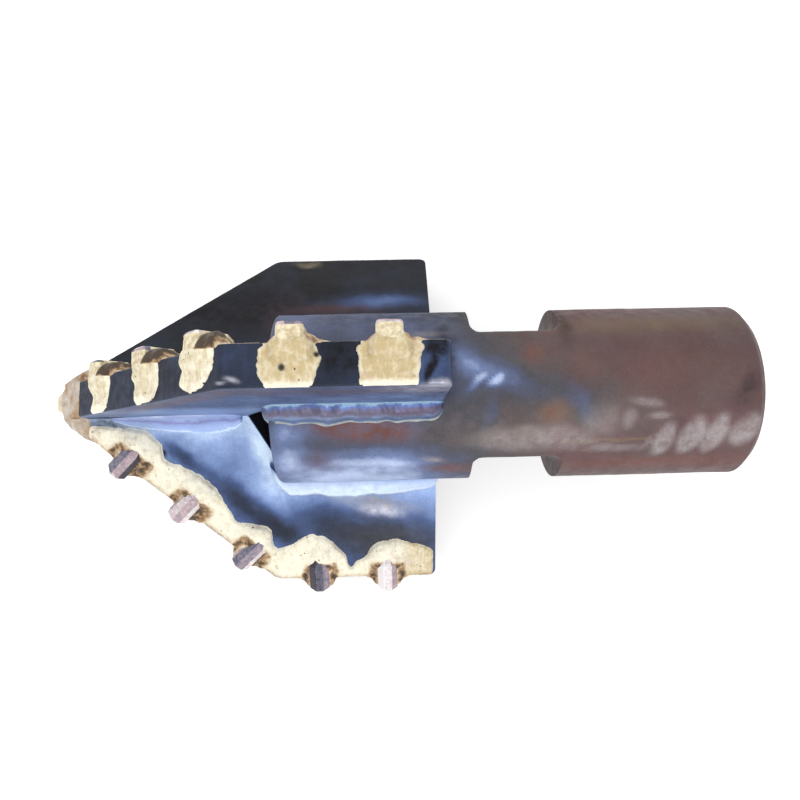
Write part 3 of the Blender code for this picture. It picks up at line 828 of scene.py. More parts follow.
@dataclass
class Wing:
    """One flame-cut wing plate."""
    bit: Bit
    index: int
    glow: dict[Face, Triple]              # base heat, heat at the welds, its reach
    patches: dict[Face, Patches]
    mouth_skew: tuple[float, float]       # later start of the mouth, trailing and leading
    corner: float = 1.2
    sink: float = 0.6                     # of the foot into the shank
    weld_tops: tuple[float, ...] = (8.0, 12.0, 46.0, 46.0)    # radius at the nose, mouth, shank and rear
    inside_shade: float = 0.95                    # painted shade on the foot and in the mouth
    wander: float = 1.4                   # of the stains' borders
    first: float = 11.0
    rows: int = 210
    on_face: int = 58
    on_edge: int = 24
    on_foot: int = 16

    def inner_radius(self, station: np.ndarray, leading: Any) -> np.ndarray:
        """Inner edge: a mitre to both neighbours, the sloping mouth, then the round of the shank.

        The mitre is at |leading| / tan(half angle). The mouth's flame cut is oblique, so
        it starts further back on one face than on the other.

        Args:
            station: Stations.
            leading: Distances towards the leading face.

        Returns:
            The radius at each station and distance.
        """
        b = self.bit
        behind, ahead = b.half_angles(self.index)
        mitre = np.abs(leading) / np.tan(np.radians(np.where(leading > 0, ahead, behind)))
        start = b.mouth_start + np.interp(leading, (-b.half_plate, b.half_plate), self.mouth_skew)
        slope = b.mouth_land * (station - start) / (b.mouth_end - b.mouth_start)
        tube = np.sqrt(b.shank_radius ** 2 - leading ** 2) - self.sink
        return np.where(station > b.shank_front - 0.2, tube, np.maximum(mitre, slope))

    def skin(self) -> Skin:
        """Rows of closed sections across the axis.

        Each section goes out along the leading face, round a small corner, across the
        edge, round the other corner, in along the trailing face and back over the inner
        edge. Long waves of noise and fine flame-cut lines move it by a tenth of a
        millimetre or two.

        Returns:
            The surface of the plate.
        """
        b, c, half = self.bit, self.corner, self.bit.half_plate
        station = np.concatenate([
            np.linspace(self.first, b.shank_front - 0.25, self.rows // 2),
            np.linspace(b.shank_front - 0.15, b.wing_rear - b.rear_corner, self.rows // 2),
            b.wing_rear - b.rear_corner * (1 - np.sin(np.linspace(0.2, pi / 2, 6)))])[:, None]
        outer = b.edge_radius(station)
        share = np.linspace(0, 1, self.on_face)[None, :]
        turn = np.linspace(0, pi / 2, 5)[None, 1:-1]
        over = np.linspace(half - c, c - half, self.on_edge)[None, :]
        across = np.linspace(-half, half, self.on_foot)[None, 1:-1]
        lead_in = self.inner_radius(station, np.array([[half]]))
        trail_in = self.inner_radius(station, np.array([[-half]]))
        blocks = [
            (half, lead_in + (outer - c - lead_in) * share),
            (half - c * (1 - np.cos(turn)), outer - c * (1 - np.sin(turn))),
            (over, outer),
            (-half + c * (1 - np.sin(turn)), outer - c * (1 - np.cos(turn))),
            (-half, trail_in + (outer - c - trail_in) * (1 - share)),
            (across, self.inner_radius(station, across)),
        ]
        leading, radial = (np.hstack(row) for row in zip(*(np.broadcast_arrays(*block) for block in blocks)))
        points = b.on_wing(self.index, station, leading, radial)
        rim = fall((outer - radial) / 2.5)
        wave = 0.16 * noise(points, 24, 31 + self.index) + 0.06 * noise(points, 6, 34 + self.index)
        lines = 0.12 * noise(np.stack([station + 0 * radial, 0.12 * leading, 0 * radial], -1), 1.3, 37)
        radial = radial + rim * (lines + wave)
        leading = leading + np.sign(leading) * np.where(np.abs(leading) > half - 0.01, wave, 0)
        points = b.on_wing(self.index, station, leading, radial)
        return Skin(points, self.masks(station, leading, radial, outer, points))

    def masks(self, station: np.ndarray, leading: np.ndarray, radial: np.ndarray,
              outer: np.ndarray, points: np.ndarray) -> Masks:
        """Masks of the three faces, each from its own patches and its own glow.

        The glow on a face falls off exponentially with the distance out from the weld.

        Args:
            station: Station of each row.
            leading: Distance of each point towards the leading face.
            radial: Distance of each point out from the axis.
            outer: Radius of the wing's edge at each row.
            points: The points in space.

        Returns:
            The masks, and the surface's own two coordinates.
        """
        b = self.bit
        station, _ = np.broadcast_arrays(station, radial)
        weld = np.interp(station, (0, b.mouth_start, b.shank_front, b.wing_rear), self.weld_tops)
        away = np.maximum(radial - weld, 0)
        plain = radial < outer - 1
        faces = {
            Face.LEADING: (leading > b.half_plate - 0.3) & plain,
            Face.TRAILING: (leading < 0.3 - b.half_plate) & plain,
        }
        faces[Face.EDGE] = ~(faces[Face.LEADING] | faces[Face.TRAILING])
        masks = {stain.value: np.zeros(radial.shape) for stain in Stain}
        for face, where in faces.items():
            second = leading if face is Face.EDGE else radial
            base, top, reach = self.glow[face]
            made = painted(self.patches.get(face, ()), station, second, points, 40 + self.index, self.wander)
            made["temper"] = made["temper"] + base + (top - base) * np.exp(-away / reach)
            masks = {key: np.where(where, made[key], value) for key, value in masks.items()}
        # Painted shade on the inner edge, over the foot and in the mouth.
        inside = faces[Face.EDGE] & (radial < outer - 4)
        masks["scorch_and_shade"] = np.where(inside, self.inside_shade, masks["scorch_and_shade"])
        masks["along"] = station
        masks["across"] = np.where(faces[Face.EDGE], leading, radial)
        return masks

    def build(self, finish: Material) -> None:
        """Put the plate in the scene."""
        number = self.index + 1
        add_piece(f"wing_plate_{number}", self.skin(), finish, (f"wing_{number}",), sharp=42)


@dataclass
class Teeth:
    """Row of block-shaped teeth along one wing."""
    bit: Bit
    index: int
    stagger: float
    coats: tuple[float, ...]              # how much braze covers each tooth
    tones: tuple[float, ...]              # how pale each tooth is
    squareness: float = 0.0               # 0 for an octagon, 1 for a square whose corners braze fills
    contrast: float = 0.5                 # between the tones of a tooth's facets
    stations: tuple[float, ...] = (31.5, 62.5, 93.5, 135.0, 174.0)
    standouts: tuple[float, ...] = (6.0, 6.0, 6.0, 6.0, 6.0)
    nudges: tuple[float, ...] = (0.0, 0.0, 0.0, 0.0, 0.0)     # how much further back each tooth sits
    half_flats: float = 5.5               # worn from 6.25
    proud: float = 7.5                    # how far its outer flat stands out of the leading face
    unworn: float = 6.0                   # standout of a new tooth, from which its length is measured
    length: float = 22.0
    draw: float = 4.0                     # length of the drawn-in inner end
    chamfer: float = 1.6                  # of the outer end
    worn: float = 5.0                     # length of the outer end that is worn and chipped
    bare_from: float = 5.2                # distance towards the leading side past which no braze clings
    around: int = 64
    closing: int = 6                      # rings that close the outer end

    def edge_stations(self) -> np.ndarray:
        """Stations of the teeth of this wing."""
        return np.array(self.stations) + self.stagger + np.array(self.nudges)

    def block(self, count: int) -> Skin:
        """One tooth: an octagonal bar with a chamfered end, chipped along its edges.

        Its outline is the octagon's radius, blended towards a square's, times a profile
        that draws in at both ends. Every facet has a tone of its own.

        Args:
            count: Number of the tooth, from 0 at the nose.

        Returns:
            The surface of the block.
        """
        b, tip = self.bit, self.standouts[count]
        station, seed = self.edge_stations()[count], 10 * self.index + count + 1
        angle = once_round(self.around)
        octagon = self.half_flats / np.cos((angle + pi / 8) % (pi / 4) - pi / 8)
        square = self.half_flats * (np.abs(np.cos(angle)) ** 9 + np.abs(np.sin(angle)) ** 9) ** (-1 / 9)
        outline = octagon * (1 - self.squareness) + square * self.squareness
        inner = self.unworn - self.length
        levels = np.concatenate([
            np.linspace(inner, inner + self.draw, 5), np.linspace(inner + self.draw + 0.5, tip - 1.7, 20),
            np.linspace(tip - 1.3, tip, 4), np.full(self.closing, tip)])
        drawn = np.interp(levels, (inner, inner + self.draw, tip - self.chamfer, tip), (0.62, 1, 1, 0.76))
        drawn[-self.closing:] = np.linspace(0.70, 0.06, self.closing)
        z = levels[:, None] + 0 * angle
        radius = outline * drawn[:, None]
        place = np.stack([radius * np.cos(angle), radius * np.sin(angle), z], -1)
        wear = noise(place + 40 * seed, 4.5, 50)
        chip = np.maximum(noise(place + 17 * seed, 3.0, 51) - 0.25, 0)
        end = unit((z - tip + self.worn) / self.worn)
        radius = np.maximum(radius * (1 + 0.025 * wear - 0.10 * chip * (0.4 + end)), 0.2)
        z = z - end * (0.2 + 0.5 * np.abs(wear) + 1.6 * chip)
        x, y = radius * np.cos(angle), radius * np.sin(angle) + self.proud - self.half_flats
        if station < b.wing_radius:
            along, out = station + (x - z) / 2 ** 0.5, station + (x + z) / 2 ** 0.5
        else:
            along, out = station + x, b.wing_radius + z
        side = ((angle + pi / 8) // (pi / 4)).astype(int) % 8
        shift = np.random.default_rng(seed).permutation(np.linspace(-0.5, 0.5, 8))[side]
        tone = self.tones[count] + self.contrast * (shift + 0.3 * (levels[:, None] > tip - 1.5))
        coat = self.coats[count] - 0.9 * unit((y - self.bare_from) / 1.6) * (z > tip - 4)
        return Skin(b.on_wing(self.index, along, y + b.half_plate, out), {"tone": tone, "coat": coat})

    def build(self, finish: Material) -> None:
        """Put the teeth in the scene."""
        for count in range(len(self.stations)):
            name = f"{self.index + 1}_{count + 1}"
            add_piece(f"tooth_block_{name}", self.block(count), finish, (f"tooth_{name}",), sharp=22)


@dataclass(frozen=True)
class Pad:
    """Braze across the edge at one tooth.

    Its borders are distances from the tooth's middle at some distances across the edge.
    """
    across: tuple[float, ...]
    front: tuple[float, ...]
    rear: tuple[float, ...]
    foot: float
    bright: float
    tail: float                           # height of the run of braze behind the tooth
    swell: float                          # how much higher it is over the tooth's end


@dataclass
class BrazeBand:
    """Braze along one wing: a lumpy band on the leading face and a pad across the edge at each tooth."""
    bit: Bit
    teeth: Teeth
    lean: float = 0.40                    # how fast the band rises from the corner between teeth
    ahead: float = 11.0                   # how far ahead of a tooth its mound reaches
    behind: float = 11.0                  # and how far behind it
    reach: float = 1.0                    # share of the edge's width that the pads cross
    tails: float = 1.0                    # share of the pads' tails that this wing has
    start: float = 19.0
    stop: float = 244.0
    rows: int = 560
    on_face: int = 64
    on_corner: int = 8
    on_edge: int = 36
    edge_turn: tuple[float, float] = (145.0, 162.0)           # arc lengths over which the edge turns
    face_turn: tuple[float, float] = (112.0, 195.0)           # and over which the way down the face does
    pits: tuple[Triple, ...] = ((-3.4, 10.4, 1.3), (10.3, 5.5, 1.1))   # from the fourth tooth, across, radius
    sunk: float = 0.6                     # depth at which hidden braze runs under the steel
    hidden_reach: float = 16.4            # how far across the edge hidden braze goes
    base_corner: float = 1.5
    deepest: float = 36.0                 # how far down the leading face the grid goes
    widest: float = 18.2                  # how far across the edge it goes
    sheet: float = 1.3                    # depth of the closing sheet inside the plate
    band_height: float = 2.3
    mound: Triple = (3.8, 11.0, 8.5)      # height, and reach along and down
    mound_depth: float = 14.0
    apron: Triple = (19.5, 8.2, 4)        # depth of the band at a tooth, its reach along and power
    tail_span: tuple[float, float] = (4.0, 15.8)              # how far behind its tooth a tail runs
    tail_down: tuple[float, float] = (4.0, 6.0)               # its middle and reach down the face
    flank: Triple = (8.2, 2.0, 1.3)       # hollow beside a tooth, darkened with tarnish and painted shade: how far off, its reach and its depth
    arch: tuple[float, float] = (10.6, 2.4)                   # painted shade in an arch over a tooth: its depth and reach
    tooth_end: tuple[float, float] = (5.6, 4.4)               # half width and breadth that the swell covers
    round_off: float = 2.5                # radius of a pad's corners
    pad_height: float = 1.3
    pad_bevel: float = 2.4
    far_corner: float = 15.9              # where a pad bends down at the trailing corner
    pads: tuple[Pad, ...] = (
        Pad((0, 3, 9, 15, 19), (-5.0, -5.0, -5.6, -6.8, -7.4), (10.0, 11.0, 10.3, 8.3, 5.7), 18.8, 0.55, 4.6, 2.8),
        Pad((0, 3, 9, 15, 19), (-5.2, -5.2, -6.0, -6.8, -5.0), (12.0, 13.4, 13.2, 10.4, 6.4), 18.4, 0.45, 4.8, 2.8),
        Pad((0, 3, 9, 14, 18), (-6.0, -8.6, -11.2, -10.8, -5.0), (12.0, 12.5, 11.4, 7.4, 0.5), 17.4, 0.50, 5.0, 2.8),
        Pad((0, 2, 6, 12, 19), (-7.6, -11.6, -13.1, -12.6, -10.2), (7.6, 10.3, 11.3, 9.8, 8.6), 19.6, 0.12, 0.0, 5.0),
        Pad((0, 2, 6, 12, 19), (-8.4, -12.2, -12.7, -12.5, -12.0), (9.6, 12.9, 12.2, 11.2, 10.3), 19.6, 0.06, 0.0, 5.0),
    )
    band_s: tuple[float, ...] = (         # arc lengths at which the band's depth is given
        15, 20, 27, 34, 43, 48, 53, 57, 62, 68, 73, 83, 92, 97, 104, 110, 115, 122, 128, 133, 137, 141, 144, 147,
        150, 154, 159, 165, 172, 178, 183.5, 187.7, 191, 193.3, 195, 196.5, 199, 203, 206, 208, 213, 221, 228.7,
        234, 240, 244)
    band_depth: tuple[float, ...] = (
        4, 7.5, 12.5, 18.5, 24, 24, 23.5, 19, 17, 20, 21.6, 22.8, 22.5, 19.5, 16.5, 14.5, 15, 19, 22.5, 23, 20.5,
        17, 17, 18.5, 21, 24.5, 28.5, 30.5, 30.5, 29, 25.2, 21.3, 18.5, 15.5, 9.5, 7.5, 10.5, 13.5, 15.5, 19.5,
        23.4, 25, 23.2, 21.4, 19.6, 17)

    def edge_path(self) -> tuple[np.ndarray, ...]:
        """Points along the wing's outer edge by arc length, with the outward direction there.

        Returns:
            Arc length, station, radius, and the station and radial parts of the direction.
        """
        b = self.bit
        station = np.concatenate([
            np.linspace(1, 106, 300), np.linspace(106.1, 114, 60), np.linspace(114.2, b.wing_rear - 0.4, 260)])
        radius = b.edge_radius(np.minimum(station, b.wing_rear - b.rear_corner))
        step = np.hypot(np.diff(station), np.diff(radius))
        arc = np.concatenate([[2 ** 0.5], 2 ** 0.5 + np.cumsum(step)])
        slope = np.radians(np.interp(arc, self.edge_turn, (45, 0)))
        return arc, station, radius, -np.sin(slope), np.cos(slope)

    def tooth_arcs(self) -> np.ndarray:
        """Arc length of each tooth's middle."""
        arc, station, *_ = self.edge_path()
        return np.interp(self.teeth.edge_stations(), station, arc)

    def face_height(self, s: np.ndarray, depth: np.ndarray, points: np.ndarray) -> tuple[np.ndarray, np.ndarray]:
        """Height over the leading face, and how far the braze there is tarnished and darkened with painted shade.

        The band is a dome over the share of its depth at that arc length. Each tooth has a
        mound over its inner end and a tail behind it, and a hollow along both flanks.

        Args:
            s: Arc length of each point.
            depth: How far it is down the leading face.
            points: The points on the steel, for the noise.

        Returns:
            The height, negative where there is no braze, and the tarnish with painted shade.
        """
        seed = 60 + 5 * self.teeth.index
        sides = [s - centre for centre in self.tooth_arcs()]
        full, half_apron, crisp = self.apron
        limit = curve(s, self.band_s, self.band_depth)
        limit = np.maximum(limit, np.max([full * fall(side / half_apron, crisp) for side in sides], axis=0))
        limit = limit + 0.8 * rough(points, 7, seed) + 0.5 * noise(points, 2.6, seed + 9)
        share = depth / np.maximum(limit, 1)
        dome = np.sqrt(unit(1 - unit(share) ** 5))
        height = self.band_height * dome + np.where(share > 1, -3 * (share - 1), 0)
        near = np.max([fall(side / np.where(side < 0, self.ahead, self.behind), 5) for side in sides], axis=0)
        flat = np.minimum(height, 0.05 + self.lean * depth)
        rise, along, down = self.mound
        mounds = np.max([rise * fall(np.hypot(side / along, (depth - self.mound_depth) / down), 2.6)
                         for side in sides], axis=0)
        height = height + mounds * unit(dome * 2.5)
        height = np.where(height > 0, flat + (height - flat) * near, height)
        # A little darker at the band's border, and painted shade in a thin line along the leading corner.
        tarnish_and_shade = 0.08 * fall((share - 1) * 7) + 0.30 * fall(depth / 3.5, 2)
        first, last = self.tail_span
        middle, spread = self.tail_down
        off, half_flank, hollow = self.flank
        arch_down, half_arch = self.arch
        for side, pad in zip(sides, self.pads):
            tail = pad.tail * self.tails
            run = unit((last - side) / 4) * unit((side - first) / 3) * fall((depth - middle) / spread, 3)
            sooty = min(tail / 4, 1) * unit(4 * run) * (0.55 + 2.0 * unit((14 - side) / 5))
            # Beside each tooth: tarnish and painted shade in the hollow along its flanks, and painted shade in an arch
            # over its inner end.
            flank = fall((np.abs(side) - off) / half_flank, 2) * fall((depth - 2) / 8, 3)
            arch = fall(side / 8.0, 4) * fall((depth - arch_down) / half_arch, 2)
            height = height + tail * run - hollow * flank
            tarnish_and_shade = np.max([tarnish_and_shade, 0.8 * flank, 0.95 * arch, sooty], axis=0)
        lumps = 0.75 * rough(points, 6, seed + 3) + 0.3 * noise(points, 1.8, seed + 4)
        return height + dome * lumps * (0.35 + 0.65 * unit(depth / 8)) * unit(height), tarnish_and_shade

    def edge_height(self, s: np.ndarray, across: np.ndarray, points: np.ndarray) -> tuple[np.ndarray, np.ndarray]:
        """Height over the edge face, and how bright the braze is there.

        A pad rises by a quarter circle over the distance from its border, whose corners
        are round and whose line is pushed about by noise. It swells over the tooth's end.

        Args:
            s: Arc length of each point.
            across: How far it is across the edge.
            points: The points on the steel, for the noise.

        Returns:
            The height, negative where there is no braze, and the brightness.
        """
        seed = 80 + 5 * self.teeth.index
        ragged = 0.7 * rough(points, 4.5, seed) + 0.5 * noise(points, 1.5, seed + 8)
        height = np.full(s.shape, -self.sunk)
        bright = np.full(s.shape, 0.5)
        r, (half_tooth, breadth) = self.round_off, self.tooth_end
        for centre, pad in zip(self.tooth_arcs(), self.pads):
            side = s - centre
            front, rear = (curve(across, pad.across, border) for border in (pad.front, pad.rear))
            aside = np.minimum(side - front, rear - side)
            below = pad.foot * self.reach - across
            corner = r - np.hypot(np.maximum(r - aside, 0), np.maximum(r - below, 0))
            inside = np.minimum(np.minimum(aside, below), corner) + ragged
            rise = quarter(unit(inside / self.pad_bevel))
            beside, beyond = np.maximum(np.abs(side) - half_tooth, 0), np.maximum(across - breadth, 0)
            swell = fall(np.hypot(beside / 2.6, beyond / 3.6), 3)
            over = self.pad_height * rise + pad.swell * swell * rise
            over = over * np.sqrt(1 - unit((across - self.far_corner) / 2.4) ** 2)
            height = np.maximum(height, np.where(inside > 0, over, np.clip(inside * 0.8, -self.sunk, 0)))
            rim = fall((below - 1.6) / 1.9, 3) + 0.5 * fall(inside / 1.2, 2)
            bright = np.where(inside > -1, unit(pad.bright + 0.9 * rim), bright)
        return height + np.where(height > 0, 0.30 * rough(points, 5, seed + 3), 0), bright

    def skin(self) -> Skin:
        """Height field over the leading corner, closed by a sheet inside the plate.

        Across the band the surface runs from deep on the leading face up to the corner,
        round it by a quarter circle, and over the edge face. Where the height is
        negative the braze runs inside the steel, so its border is where it comes out.

        Returns:
            The surface of the band.
        """
        b, r0 = self.bit, self.base_corner
        arc, *path = self.edge_path()
        s = np.linspace(self.start, self.stop, self.rows)[:, None]
        station, radius, out_x, out_r = (np.interp(s, arc, part) for part in path)
        lean = np.radians(np.interp(s, self.face_turn, (45, 0)))
        depth = np.linspace(self.deepest, r0, self.on_face)
        turn = np.linspace(0, pi / 2, self.on_corner)[1:-1]
        across = np.linspace(r0, self.widest, self.on_edge)
        tilt = np.concatenate([0 * depth, turn, np.full(across.size, pi / 2)])[None, :]
        inward = np.concatenate([depth - r0, 0 * turn, 0 * across])[None, :]
        over = np.concatenate([0 * depth, 0 * turn, across - r0])[None, :]
        rear_drop = b.edge_radius(np.minimum(station, b.wing_rear - b.rear_corner)) - b.edge_radius(station)

        def surface(height: Any) -> np.ndarray:
            """Points at a height over the steel, kept off the far corner where it is hidden."""
            lift = (r0 + height) * np.sin(tilt) - r0
            x = station + np.sin(lean) * inward + out_x * lift
            r = radius - np.cos(lean) * inward + out_r * lift - np.where(height < 0, rear_drop, 0)
            away = np.where(height < 0, np.minimum(over, self.hidden_reach - r0), over)
            return b.on_wing(self.teeth.index, x, b.half_plate - r0 - away + (r0 + height) * np.cos(tilt), r)

        flat = surface(0.0)
        s_all, in_all, over_all = np.broadcast_arrays(s, inward, over)
        face, tarnish_and_shade = self.face_height(s_all, in_all + r0, flat)
        edge, pale = self.edge_height(s_all, over_all + r0, flat)
        share = tilt / (pi / 2)
        height = np.maximum(face * (1 - share) + edge * share, -self.sunk)
        ends = unit(np.minimum(s - self.start, 2 * (self.stop - s)) / 4)
        top = surface(height * ends - self.sunk * (1 - ends))
        under = surface(-self.sheet)[:, ::-1][:, ::4]
        # Paler braze is darkened by the tarnish and painted shade, and by painted shade towards the band's rear end.
        face_bright = 1.0 - 0.6 * tarnish_and_shade - 0.7 * fall((s_all - 238) / 10, 4)
        fourth = self.tooth_arcs()[3]
        pits = [fall(np.hypot(s_all - fourth - along, over_all + r0 - place) / size, 6)
                for along, place, size in self.pits]
        masks = {
            "tarnish_and_shade": tarnish_and_shade * (1 - share ** 3),
            "bright": pale * share + face_bright * (1 - share),
            "pit": np.max(pits, axis=0) * (share > 0.9),
        }
        blank = np.zeros(under.shape[:2])
        return Skin(np.hstack([top, under]), {key: np.hstack([value, blank]) for key, value in masks.items()})

    def build(self, finish: Material) -> None:
        """Put the band in the scene."""
        number = self.teeth.index + 1
        nodes = tuple(f"braze_{number}_{count}" for count in range(1, len(self.pads) + 1))
        add_piece(f"braze_band_{number}", self.skin(), finish, nodes, sharp=80)


@dataclass
class Nose:
    """Chisel insert on the point, and the braze that caps the three wing tips round it."""
    bit: Bit
    half: float = 9.0
    ridge: float = 3.0                    # half width of the ridge
    edge: float = 0.8                     # half thickness of the ridge
    seat: float = 15.0
    cap_start: float = 5.5
    cap_length: float = 13.7
    cap_height: float = 2.3
    cap_sunk: float = 0.8
    cap_bore: float = 4.0
    on_insert: int = 96
    on_cap: int = 168

    def insert(self) -> Skin:
        """Square block under a hipped roof.

        A section is a superellipse whose half sides grow along the roof and whose power
        grows from 2.6 to 7, so that the ridge is worn round and the block is square.

        Returns:
            The surface of the insert.
        """
        share = np.concatenate([np.linspace(0, 1, 22) ** 1.6 * 0.6, np.linspace(0.65, 1, 8)])[:, None]
        station = self.seat * share
        grow = unit(station / self.half)
        wide = self.ridge + (self.half - self.ridge) * grow ** 0.9
        tall = self.edge + (self.half - self.edge) * (0.75 * grow + 0.25 * quarter(grow))
        power = 2.6 + 4.4 * grow
        angle = once_round(self.on_insert)
        c, s = np.cos(angle), np.sin(angle)
        size = (np.abs(c) ** power + np.abs(s) ** power) ** (-1 / power) * unit(0.55 + share * 9)
        wear = np.abs(0.4 * rough(self.bit.place(0.0, station, wide * size * c, tall * size * s), 5, 91))
        size = size * (1 - 0.05 * wear)
        points = self.bit.place(0.0, station + 0.5 * wear, wide * size * c, tall * size * s)
        return Skin(points, {"coat": np.array(0.62), "tone": np.array(0.75)})

    def cap(self) -> Skin:
        """Lumpy ring over the wing tips.

        Its radius is the outline of the three plates at that station, the largest over
        the wings of min(station / cos, half plate / |sin|), plus a dome along the axis.

        Returns:
            The surface of the ring, whose last row joins its first.
        """
        b = self.bit
        along = np.linspace(0, 1, 40)[:, None]
        station = self.cap_start + self.cap_length * along
        angle = once_round(self.on_cap, 360)
        outline = np.full((station.size, angle.size), self.half * 1.02)
        for wing in b.wing_angles:
            away = np.radians((angle - wing + 180) % 360 - 180)
            plate = np.minimum(station / np.maximum(np.cos(away), 0.05),
                               b.half_plate / np.maximum(np.abs(np.sin(away)), 0.05))
            outline = np.maximum(outline, np.where(np.cos(away) > 0.2, plate, 0))
        points = b.place(angle, station, 0.0, outline)
        dome = np.sqrt(unit(1 - (2 * along - 1) ** 2))
        thick = self.cap_height * dome - self.cap_sunk + dome * (
            0.6 * rough(points, 6, 95) + 0.2 * noise(points, 2, 96))
        inner = b.place(angle, station[::-1][::4], 0.0, self.cap_bore)
        points = np.vstack([b.place(angle, station, 0.0, outline + thick), inner])
        masks = {"bright": np.array(0.4), "tarnish_and_shade": 0.14 + 0.40 * noise(points, 5, 97)}
        return Skin(points, masks, joined=True)

    def build(self, carbide: Material, braze: Material) -> None:
        """Put the insert and its cap in the scene."""
        add_piece("nose_block", self.insert(), carbide, ("nose_insert",), sharp=60)
        add_piece("nose_cap", self.cap(), braze, ("nose_braze",), sharp=80)


@dataclass
class Bead:
    """A rippled fillet bead carried along a path, between two toes and a buried root."""
    name: str
    node: str
    plate_toe: np.ndarray                 # rows, 3, on the wing
    other_toe: np.ndarray                 # rows, 3, on the shank or on the other wing
    root: np.ndarray                      # rows, 3, inside both
    out: np.ndarray                       # direction in which the face swells
    bulge: float
    seed: int
    heat: float = 0.0
    soft: float = 0.35                    # how far the toes draw in
    ripple: float = 0.045
    pitch: float = 3.2
    across: int = 22

    def skin(self) -> Skin:
        """Rows of sections along the path.

        The face swells from toe to toe as the square of a sine and draws in at its soft
        toes, with crescent ripples: a sine of the distance along plus a curve across, so
        that each ripple trails at its toes.

        Returns:
            The surface of the bead.
        """
        share = np.linspace(0, 1, self.across)[None, :]
        flat = self.plate_toe[:, None] * (1 - share[..., None]) + self.other_toe[:, None] * share[..., None]
        step = np.linalg.norm(np.diff(flat[:, self.across // 2], axis=0), axis=1)
        along = np.concatenate([[0], np.cumsum(step)])[:, None]
        crown = np.sin(pi * share)
        cool = np.interp(along / along[-1], (0, 0.6, 1), (1, 1, 0.45))
        size = np.linalg.norm(self.plate_toe - self.other_toe, axis=1)[:, None]
        size = size / size.max()
        phase = along / self.pitch - 0.9 * crown
        wave = self.ripple * np.sin(2 * pi * phase + 1.5 * noise(flat, 9, self.seed)) * crown
        lift = size * (self.bulge * crown ** 2 - 4 * self.soft * crown * (1 - crown)) + wave
        lift = lift + 0.30 * rough(flat, 9, self.seed + 1) * crown
        # The temper mask is whitest on the crown: heat tint, with a painted highlight along the crown.
        masks = {
            "share": np.hstack([share + 0 * along, 0.5 + 0 * along]),
            "temper": np.hstack([self.heat * crown ** 0.7 * cool, 0 * along]),
        }
        return Skin(np.concatenate([flat + self.out * lift[..., None], self.root[:, None]], axis=1), masks)

    def build(self, finish: Material) -> None:
        """Put the bead in the scene."""
        add_piece(self.name, self.skin(), finish, (self.node,), sharp=70)


